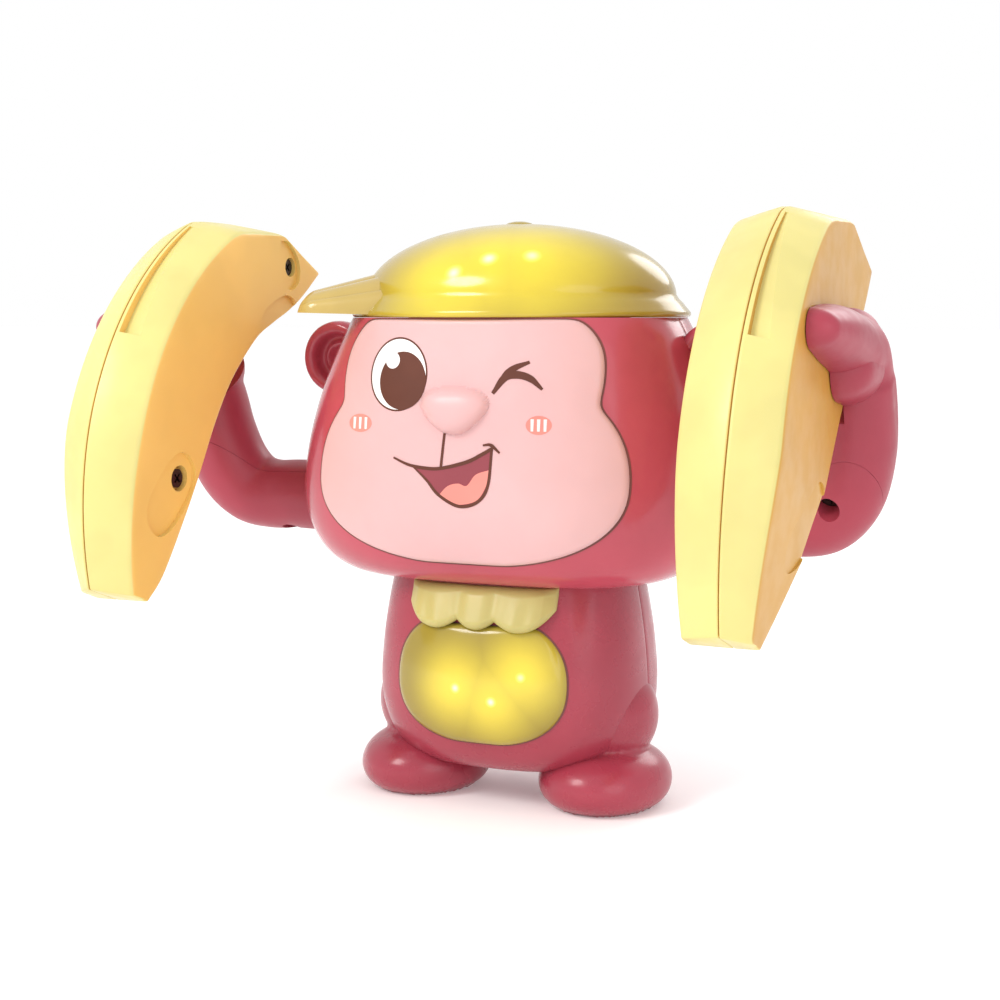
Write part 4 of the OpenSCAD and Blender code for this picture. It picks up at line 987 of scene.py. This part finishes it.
def make_legs(rose):
    for name, side in (("left_leg", -1), ("right_leg", 1)):
        verts, faces = lathe(foot_profile(), "Z", (1.0, FOOT_HD / FOOT_R), 72)
        foot = (verts + [side * FOOT_X, FOOT_Y, 0], faces)
        x, y, z = THIGH_MID
        thigh = blob((side * x, y, z), THIGH_RADII, 30, 48)
        obj = blended(name + "_moulding", joined(foot, thigh), 0.8, 4, placed)
        for v in obj.data.vertices:
            v.co.z = 0.0 if v.co.z < FLAT_BELOW * MM else v.co.z
        x, y = side * SOLE_SCREW[0], SOLE_SCREW[1]
        combine(obj, "DIFFERENCE", rod((x, y, -1), (x, y, 5), RECESS_R))
        near, far = sorted((side * 0.1, side * 60))
        combine(obj, "DIFFERENCE", box(near, far, -60, 60, *BODY_SLICE))
        finish_piece(obj, "torso", rose, "rose_plastic", name)


# ---------------- arms

# Arm drawn for the right side with the arms straight up: middle line and radius.
ARM_PATH = [(62.8, 0, 0, 10.7), (68, 0, 0, 10.6), (74, 0, 0, 10.5), (82, -0.2, -0.2, 10.6),
            (89.5, 0.6, 1.8, 11.1), (95.0, 3.6, 8.0, 11.4), (98.2, 9.0, 17, 11.2),
            (99.4, 14.6, 27, 10.9), (100.4, 18.5, 36, 10.0)]
# Domes of the hand on the banana's face, as runs of (y, z, height, radius).
PALM = [(19.5, 35, 10.9, 11.2), (20.5, 42, 10.9, 10.6), (16.0, 49.0, 10.8, 10.0)]
FINGER = [(16.0, 49.0, 10.8, 9.6), (9.4, 59.8, 10.2, 8.4), (2.6, 68.6, 9.2, 7.0),
          (-3.2, 75.8, 7.6, 5.2)]
THUMB = [(20.5, 42, 10.8, 9.4), (23.4, 46.6, 8.6, 7.2)]
LOBE = [(15.0, 43, 10.2, 9.6), (9.4, 48.6, 9.8, 8.4)]
BANANA_SIDE = 98.75       # flat side of the hand


def arm_parts(side):
    line = np.array(ARM_PATH, float)
    path = curve_through(line, 64)
    along = np.gradient(path[:, :3], axis=0)
    along /= np.linalg.norm(along, axis=1)[:, None]
    u = np.cross(along, [0, 1.0, 0])
    u /= np.linalg.norm(u, axis=1)[:, None]
    v = np.cross(along, u)
    turn = np.linspace(0, 2 * np.pi, 48, endpoint=False)
    rings = np.array([p[:3] + p[3] * (np.outer(np.cos(turn), a) + np.outer(np.sin(turn), b))
                      for p, a, b in zip(path, u, v)])
    parts = [tube(rings)]
    parts += hand_run(PALM) + hand_run(FINGER) + hand_run(THUMB)
    verts, faces = joined(*parts)
    return verts * [side, 1, 1], faces


def hand_run(stops):
    """Blobs close together along a run of the hand."""
    run = curve_through(stops, 26)
    return [blob((BANANA_SIDE, y, z), (height, r, r)) for y, z, height, r in run]


def hand_lobe(side):
    verts, faces = joined(*hand_run(LOBE))
    return verts * [side, 1, 1], faces


def settle_hand(obj, side):
    """Cuts the hand flat against the banana and keeps the arm clear of the head."""
    near, far = sorted((side * 60.0, side * BANANA_SIDE))
    combine(obj, "DIFFERENCE", box(near, far, -60, 90, 32.4, 120), on_arms)
    for v in obj.data.vertices:
        v.co.x = side * min(max(abs(v.co.x) / MM, 62.8), 109.9) * MM


ROOT_SCREW = (74.6, -5.5)         # x and z of the screw hole below the axle
ELBOW_SCREW = (93.5, 12.0)
ROOT_SEAT, ELBOW_SEAT, ELBOW_SEAT_BACK = -3.5, -1.5, 6.2


SEAM_HALF_GAP = 0.05              # half the gap between an arm's two shells
SLOT_TOP, FRONT_TOP = 30.0, 29.9  # the slot in the back shell, and the front shell in it
PAST_ARM = 30.0                   # clear of the arm, in front of it or behind it


def arm_screw_recesses(side):
    elbow = (-PAST_ARM, ELBOW_SEAT) if side > 0 else (ELBOW_SEAT_BACK, PAST_ARM)
    spots = ((ROOT_SCREW, (-PAST_ARM, ROOT_SEAT)), (ELBOW_SCREW, elbow))
    return joined(*[rod((side * x, y0, z), (side * x, y1, z), RECESS_R)
                    for (x, z), (y0, y1) in spots])


def make_arms(rose):
    for name, side in (("left_arm", -1), ("right_arm", 1)):
        back = blended(name + "_back", arm_parts(side), 0.75, 5, on_arms)
        lobe_skin = blended("lobe", hand_lobe(side), 0.6, 3, on_arms)
        combine_with(back, "UNION", lobe_skin, use_self=False)
        settle_hand(back, side)
        front = back.copy()
        front.data = back.data.copy()
        front.name = name + "_front"
        bpy.context.scene.collection.objects.link(front)
        near, far = sorted((side * 60.0, side * 115.0))
        combine(front, "INTERSECT", box(near, far, -PAST_ARM, -SEAM_HALF_GAP, -20, FRONT_TOP),
                on_arms)
        combine(back, "DIFFERENCE", box(near, far, -PAST_ARM, SEAM_HALF_GAP, -20, SLOT_TOP),
                on_arms)
        for half, ending in ((front, "_front_shell"), (back, "_back_shell")):
            combine(half, "DIFFERENCE", arm_screw_recesses(side), on_arms)
            finish_piece(half, "arms", rose, "rose_plastic", name + ending)


# ---------------- bananas

REACH = 90.0
BANANA_IN, CREST_X, BANANA_OUT = 73.5, 87.1, 98.5
# Distance in from the crest at the flat face's edge, and how the bevel between them runs, as
# (share of the way from the flat face to the crest, mm inside the crest).
BEVEL = ((0.0, 6.6), (0.012, 6.0), (0.04, 5.35), (0.10, 4.75), (0.5, 2.45), (0.93, 0.22),
         (0.972, 0.22), (0.99, 0.42), (1.0, 0.9))
TIP_CUT = ((-74.6, 49.6), (-69.6, 38.2))
CONVEX_CORNERS = [(29.5, 84.6), (33.5, 82.4), (45.4, 70.4), (48.2, 66.4)]
HOLLOW_IN = [(-69.6, 38.2), (-60.3, 38.0), (-44, 41.8), (-29.3, 45.8), (-14, 49.8), (1, 51.8),
             (17.8, 50.5), (28, 46.8), (37.5, 42.6), (46, 40.2), (57.2, 38.3)]
HOLLOW_OUT = [(-69.2, 37.4), (-58, 36.6), (-47.4, 36.2), (-34, 35.4), (-20, 34.8), (4, 35.4),
              (28, 35.3), (40, 35.2), (50, 35.2), (58.1, 35.6)]
STATIONS = 96


def banana_lines():
    """The crest and the two edges of the hollow side, as (y, z) from the tip to the stalk."""
    a0 = math.atan2(TIP_CUT[0][0], TIP_CUT[0][1])
    a1 = math.atan2(CONVEX_CORNERS[0][0], CONVEX_CORNERS[0][1])
    arc = [(REACH * math.sin(a), REACH * math.cos(a)) for a in np.linspace(a0, a1, 80)]
    crest = resample(np.vstack([arc, curve_through(CONVEX_CORNERS, 30)[1:]]), STATIONS)
    return crest, curve_through(HOLLOW_IN, STATIONS), curve_through(HOLLOW_OUT, STATIONS)


def banana_ring(crest, edge, middle, x_flat, x_crest):
    """Loop of one half's cross-section: bevel, flat face, hollow side and parting plane."""
    inward = (edge - crest) / np.linalg.norm(edge - crest)
    length = np.linalg.norm(edge - crest)
    loop = [(mix(x_crest, x_flat, 1 - run), crest + inward * drop) for run, drop in BEVEL[::-1]]
    loop += [(x_flat, crest + inward * w) for w in np.linspace(8.5, length - 2.0, 10)]
    way = 1 if x_crest > x_flat else -1
    loop += [(x_flat, edge - inward * 1.0), (x_flat + way * 0.15, edge - inward * 0.45),
             (x_flat + way * 0.5, edge - inward * 0.12),
             (x_flat + way * 1.1, mix(edge, middle, 0.08))]
    loop += [(mix(x_flat, x_crest, t), mix(edge, middle, t)) for t in (0.25, 0.5, 0.75, 1.0)]
    return np.array([(x, *yz) for x, yz in loop])


def banana_half(side, outer):
    crest, edge_in, edge_out = banana_lines()
    rings = []
    for c, h_in, h_out in zip(crest, edge_in, edge_out):
        taper = float(np.clip((-40.0 - c[0]) / 36.0, 0, 1)) ** 1.5
        x_in, x_out = BANANA_IN + 2.0 * taper, BANANA_OUT - 6.5 * taper
        x_crest = CREST_X - 1.2 * taper + (0.06 if outer else -0.06)
        middle = mix(h_in, h_out, (CREST_X - BANANA_IN) / (BANANA_OUT - BANANA_IN))
        ring = banana_ring(c, h_out if outer else h_in, middle, x_out if outer else x_in, x_crest)
        rings.append(ring * [side, 1, 1])
    return tube(soft_ends(np.array(rings)))


def soft_rim(ring, ring_next):
    """Three loops that round the rim of a flat end."""
    to_mid = ring.mean(0) - ring
    to_mid /= np.linalg.norm(to_mid, axis=1)[:, None]
    inward = ring_next - ring
    inward /= np.linalg.norm(inward, axis=1)[:, None]
    return [ring + to_mid * 0.6, ring + to_mid * 0.2 + inward * 0.15, ring + inward * 0.5]


def soft_ends(rings):
    """Rounds the rims of a tube's two flat ends."""
    return np.concatenate([soft_rim(rings[0], rings[1]), rings[1:-1],
                           soft_rim(rings[-1], rings[-2])[::-1]])


def crest_groove(side):
    """Cutter of the tapering groove on the +X side of the crest."""
    rows = []
    for t in np.linspace(0, 1, 30):
        angle = mix(math.atan2(27.7, 82.9), math.atan2(-16.0, 83.0), t)
        width, deep = mix(0.6, 5.4, t), mix(0.3, 2.2, t ** 0.7)
        near = CREST_X * side + 1.3
        far = near + width
        slope = 0.38
        surface = [REACH - 0.2 - slope * (w + 0.8) for w in (0.0, width)]
        section = [(near, surface[0] + 3), (far + 0.3, surface[0] + 3),
                   (far + 0.3, surface[1] + 0.02), (far, surface[1] - 0.05),
                   (near, surface[0] - deep)]
        rows.append([(x, r * math.sin(angle), r * math.cos(angle)) for x, r in section])
    return tube(np.array(rows))


SCREW_HOLES = ((-37.0, 51.0, 3.6), (47.0, 51.0, RECESS_R))


def slanted(cutter, floor, start, slope):
    """Tilts a cutter's flat floor to follow the face where the banana narrows to its tip."""
    verts, faces = cutter
    verts = verts.copy()
    at_floor = np.abs(verts[:, 0] - floor) < 1e-6
    verts[at_floor, 0] += slope * (verts[at_floor, 1] - start)
    return verts, faces


def teardrop(x0, x1):
    """Cutter of the pear-shaped recess near the stalk."""
    line = curve_through([(47.4, 61.5), (50.6, 57.6), (50.6, 50.0), (46.5, 45.6), (41.0, 47.0),
                          (39.6, 52.5), (42.6, 58.4), (47.4, 61.5)], 49)[:-1]
    return tube(np.stack([np.c_[np.full(len(line), x), line] for x in (x0, x1)]))


INNER_FLOOR, OUTER_FLOOR = BANANA_IN + 1.2, BANANA_OUT - 1.2
PAST_INNER, PAST_OUTER = 70, 100          # clear of the flat faces
SCREW_FLOOR = BANANA_IN + 4.0
BANANA_SHARP = math.radians(24)


def inner_cutters(side):
    """The recesses of the flat face towards the body."""
    x0, floor = side * PAST_INNER, side * INNER_FLOOR
    tip_oval = oval_rod((-43.4, 52.0), (-1, 0.0), 12.6, 7.8, x0, floor)
    holes = [rod((x0, y, z), (side * SCREW_FLOOR, y, z), radius) for y, z, radius in SCREW_HOLES]
    return [slanted(tip_oval, floor, -31.0, side * -0.05), teardrop(x0, floor),
            oval_rod((29.5, 45.4), (1, -0.45), 11.0, 6.6, x0, floor),
            oval_rod((-12.0, 46.0), (1, 0.16), 8.5, 2.2, x0, floor), joined(*holes)]


def outer_cutters(side):
    """The recess of the flat face towards the hand."""
    x1, floor = side * PAST_OUTER, side * OUTER_FLOOR
    oval = oval_rod((-35.5, 41.2), (-0.945, 0.33), 16.2, 6.8, x1, floor)
    return [slanted(oval, floor, -28.0, side * 0.075)]


def make_bananas(inner_skin, outer_skin):
    for name, side in (("left_banana", -1), ("right_banana", 1)):
        groove = [crest_groove(side)]
        inner_cuts, outer_cuts = inner_cutters(side), outer_cutters(side)
        if side > 0:
            outer_cuts += groove
        else:
            inner_cuts += groove
        halves = []
        for outer in (False, True):
            half = solid(name + ("_out" if outer else "_in"), banana_half(side, outer), on_arms,
                         BANANA_SHARP)
            for cutter in outer_cuts if outer else inner_cuts:
                combine(half, "DIFFERENCE", cutter, on_arms, BANANA_SHARP)
            halves.append(half)
        inner, outer = halves
        finish_piece(inner, "arms", inner_skin, "banana_inner_plastic", name + "_inner")
        finish_piece(outer, "arms", outer_skin, "banana_outer_plastic", name + "_outer")


# ---------------- carried-over CAD parts

STEEL_NODES = ("drive_axle", "gear_pins", "battery_contacts", "battery_springs", "neck_screws",
               "hand_screws", "gearbox_screws", "switch_housing")
DARK_STEEL_NODES = ("head_screws", "body_screws", "door_screw", "arm_screws", "banana_screws",
                    "leg_screws")
WHITE_NODES = ("axle_bushes", "output_gear", "second_gear", "first_gear", "gearbox_left_plate",
               "gearbox_right_plate", "gearbox_posts")
BLACK_NODES = ("battery_box", "power_switch")
BOARD_NODES = ("cap_led_board", "belly_led_board", "main_board")
LED_NODES = ("cap_leds", "belly_leds")


def dress_cad_parts():
    groups = (
        (STEEL_NODES, metal("bright_steel", (0.62, 0.62, 0.64))),
        (DARK_STEEL_NODES, metal("blackened_steel", (0.07, 0.055, 0.05), (0.35, 0.5))),
        (WHITE_NODES, plastic("white_nylon", (0.78, 0.77, 0.73), (0.35, 0.5))),
        (BLACK_NODES, plastic("black_plastic", (0.02, 0.02, 0.022), (0.3, 0.5))),
        (BOARD_NODES, circuit("solder_mask")),
        (LED_NODES, plastic("led_lens", (0.85, 0.75, 0.25), (0.1, 0.2), coat=0.5)),
        (("motor",), metal("motor_can", (0.50, 0.50, 0.50), (0.25, 0.4))),
        (("motor_pinion",), metal("brass", (0.72, 0.50, 0.20), (0.2, 0.35))),
        (("speaker",), plastic("speaker_cone", (0.03, 0.03, 0.03), (0.5, 0.7))),
        (("batteries",), cell_jacket("cell_jacket")))
    for nodes, look in groups:
        for name in nodes:
            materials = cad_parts[name].data.materials
            materials.clear()
            materials.append(look)


# ---------------- studio


def make_floor():
    n = Nodes("studio_floor")
    tone = n.ramp(n.noise(3.0, 2.0), 0.3, 0.7, [(0.90, 0.90, 0.90), (0.93, 0.93, 0.93)])
    n.surface(tone, 0.7, 0.8, 300.0, 0.00002, 5.0, 0.0001)
    n.set(Emission_Color=(1.0, 1.0, 1.0, 1), Emission_Strength=0.16)
    bm = bmesh.new()
    bmesh.ops.create_grid(bm, x_segments=8, y_segments=8, size=18.0)
    mesh = bpy.data.meshes.new("floor")
    bm.to_mesh(mesh)
    bm.free()
    mesh.materials.append(n.material)
    floor = bpy.data.objects.new("floor", mesh)
    bpy.context.scene.collection.objects.link(floor)


def add_light(name, place, aim, size, power, colour=(1, 1, 1)):
    data = bpy.data.lights.new(name, "AREA")
    data.shape = "DISK"
    data.size = size
    data.energy = power
    data.color = colour
    light = bpy.data.objects.new(name, data)
    light.location = place
    light.rotation_euler = (Vector(aim) - Vector(place)).to_track_quat("-Z", "Y").to_euler()
    bpy.context.scene.collection.objects.link(light)


def make_studio():
    scene = bpy.context.scene
    scene.view_settings.view_transform = "Standard"
    world = bpy.data.worlds.new("studio")
    world.use_nodes = True
    background = world.node_tree.nodes["Background"]
    background.inputs["Color"].default_value = (1.0, 1.0, 1.0, 1)
    background.inputs["Strength"].default_value = 1.0
    scene.world = world
    aim = (0, 0.02, 0.08)
    add_light("key", (-0.45, -0.75, 0.75), aim, 0.45, 6.0, (1.0, 0.97, 0.95))
    add_light("fill", (0.8, -0.6, 0.35), aim, 0.7, 1.5)
    add_light("rim", (0.25, 0.9, 0.6), aim, 0.5, 2.0)


EYE = (0.19638, -0.43745, 0.13707)
YAW, PITCH = math.radians(23.70), math.radians(2.07)
FOCAL_PX, IMAGE_PX, SENSOR = 1734.0, 1000.0, 36.0
SHIFT_Y = -0.12


def make_camera():
    data = bpy.data.cameras.new("camera")
    data.sensor_width = SENSOR
    data.lens = FOCAL_PX / IMAGE_PX * SENSOR
    data.shift_y = SHIFT_Y
    data.clip_start, data.clip_end = 0.01, 60.0
    camera = bpy.data.objects.new("camera", data)
    camera.location = EYE
    camera.rotation_euler = (math.pi / 2 - PITCH, 0, YAW)
    bpy.context.scene.collection.objects.link(camera)
    bpy.context.scene.camera = camera


# ---------------- the whole toy

rose = plastic("rose_plastic", (0.455, 0.064, 0.096), (0.16, 0.26), 0.06, coat=0.18,
               subsurface=0.04)
# Darker copies of the rose plastic, as painted shade: this one for the body, battery door and legs,
# the next one, also rougher, for the arms.
rose_painted_shade = plastic("rose_plastic_painted_shade", (0.345, 0.040, 0.066), (0.24, 0.34), 0.06, coat=0.12,
                    subsurface=0.04)
rose_arms_painted_shade = plastic("rose_plastic_arms", (0.345, 0.040, 0.066), (0.36, 0.46), 0.06,
                    subsurface=0.04)
skin = plastic("face_pink", (0.68, 0.41, 0.41), (0.28, 0.4), 0.03, subsurface=0.15)
# Dark brown strip: painted shadow in the gaps round the face plate and the belly lens.
gap = plastic("gap_shadow", (0.16, 0.05, 0.045), (0.5, 0.7), 0.15)
# Gold cap and belly lens: their glow and hot spots are painted light from the lamps inside.
cap_gold = glowing("cap_gold", (0.36, 0.26, 0.035), (0.60, 0.48, 0.03), (0.95, 0.78, 0.05),
                   CAP_LIGHTS, 33.0, 0.22, 0.16)
brim_gold = plastic("brim_gold", (0.47, 0.34, 0.10), (0.14, 0.22), 0.08, coat=0.3)
lens_gold = glowing("lens_gold", (0.30, 0.225, 0.03), (0.58, 0.46, 0.04), (0.95, 0.76, 0.08),
                    LENS_LIGHTS, 18.0, 0.30, 0.14)
bow_yellow = plastic("bow_yellow", (0.48, 0.42, 0.15), (0.3, 0.42), 0.05, subsurface=0.1)
# Flat sides in painted shade: orange on the inner halves and a darker orange on the outer halves;
# the rounded edges keep the plastic's pale yellow.
banana_inner_painted_shade = banana_plastic("banana_inner_plastic", (0.80, 0.49, 0.13), (0.68, 0.60, 0.22))
banana_outer_painted_shade = banana_plastic("banana_outer_plastic", (0.57, 0.30, 0.05), (0.68, 0.60, 0.22))
inks = {"brown": printed("brown_ink", (0.10, 0.025, 0.012)),
        "white": printed("white_ink", (0.86, 0.85, 0.84)),
        "maroon": printed("maroon_ink", (0.25, 0.045, 0.06)),
        "salmon": printed("salmon_ink", (0.72, 0.24, 0.20)),
        "pale": printed("pale_ink", (0.88, 0.74, 0.72))}

make_head(rose)
make_body(rose_painted_shade)
make_battery_door(rose_painted_shade)
make_face(skin, gap)
print_expression(inks)
make_ears(rose)
make_cap(cap_gold)
make_brim(brim_gold)
make_lens(lens_gold, gap)
make_bow(bow_yellow)
make_legs(rose_painted_shade)
make_arms(rose_arms_painted_shade)
make_bananas(banana_inner_painted_shade, banana_outer_painted_shade)
dress_cad_parts()
make_floor()
make_studio()
make_camera()
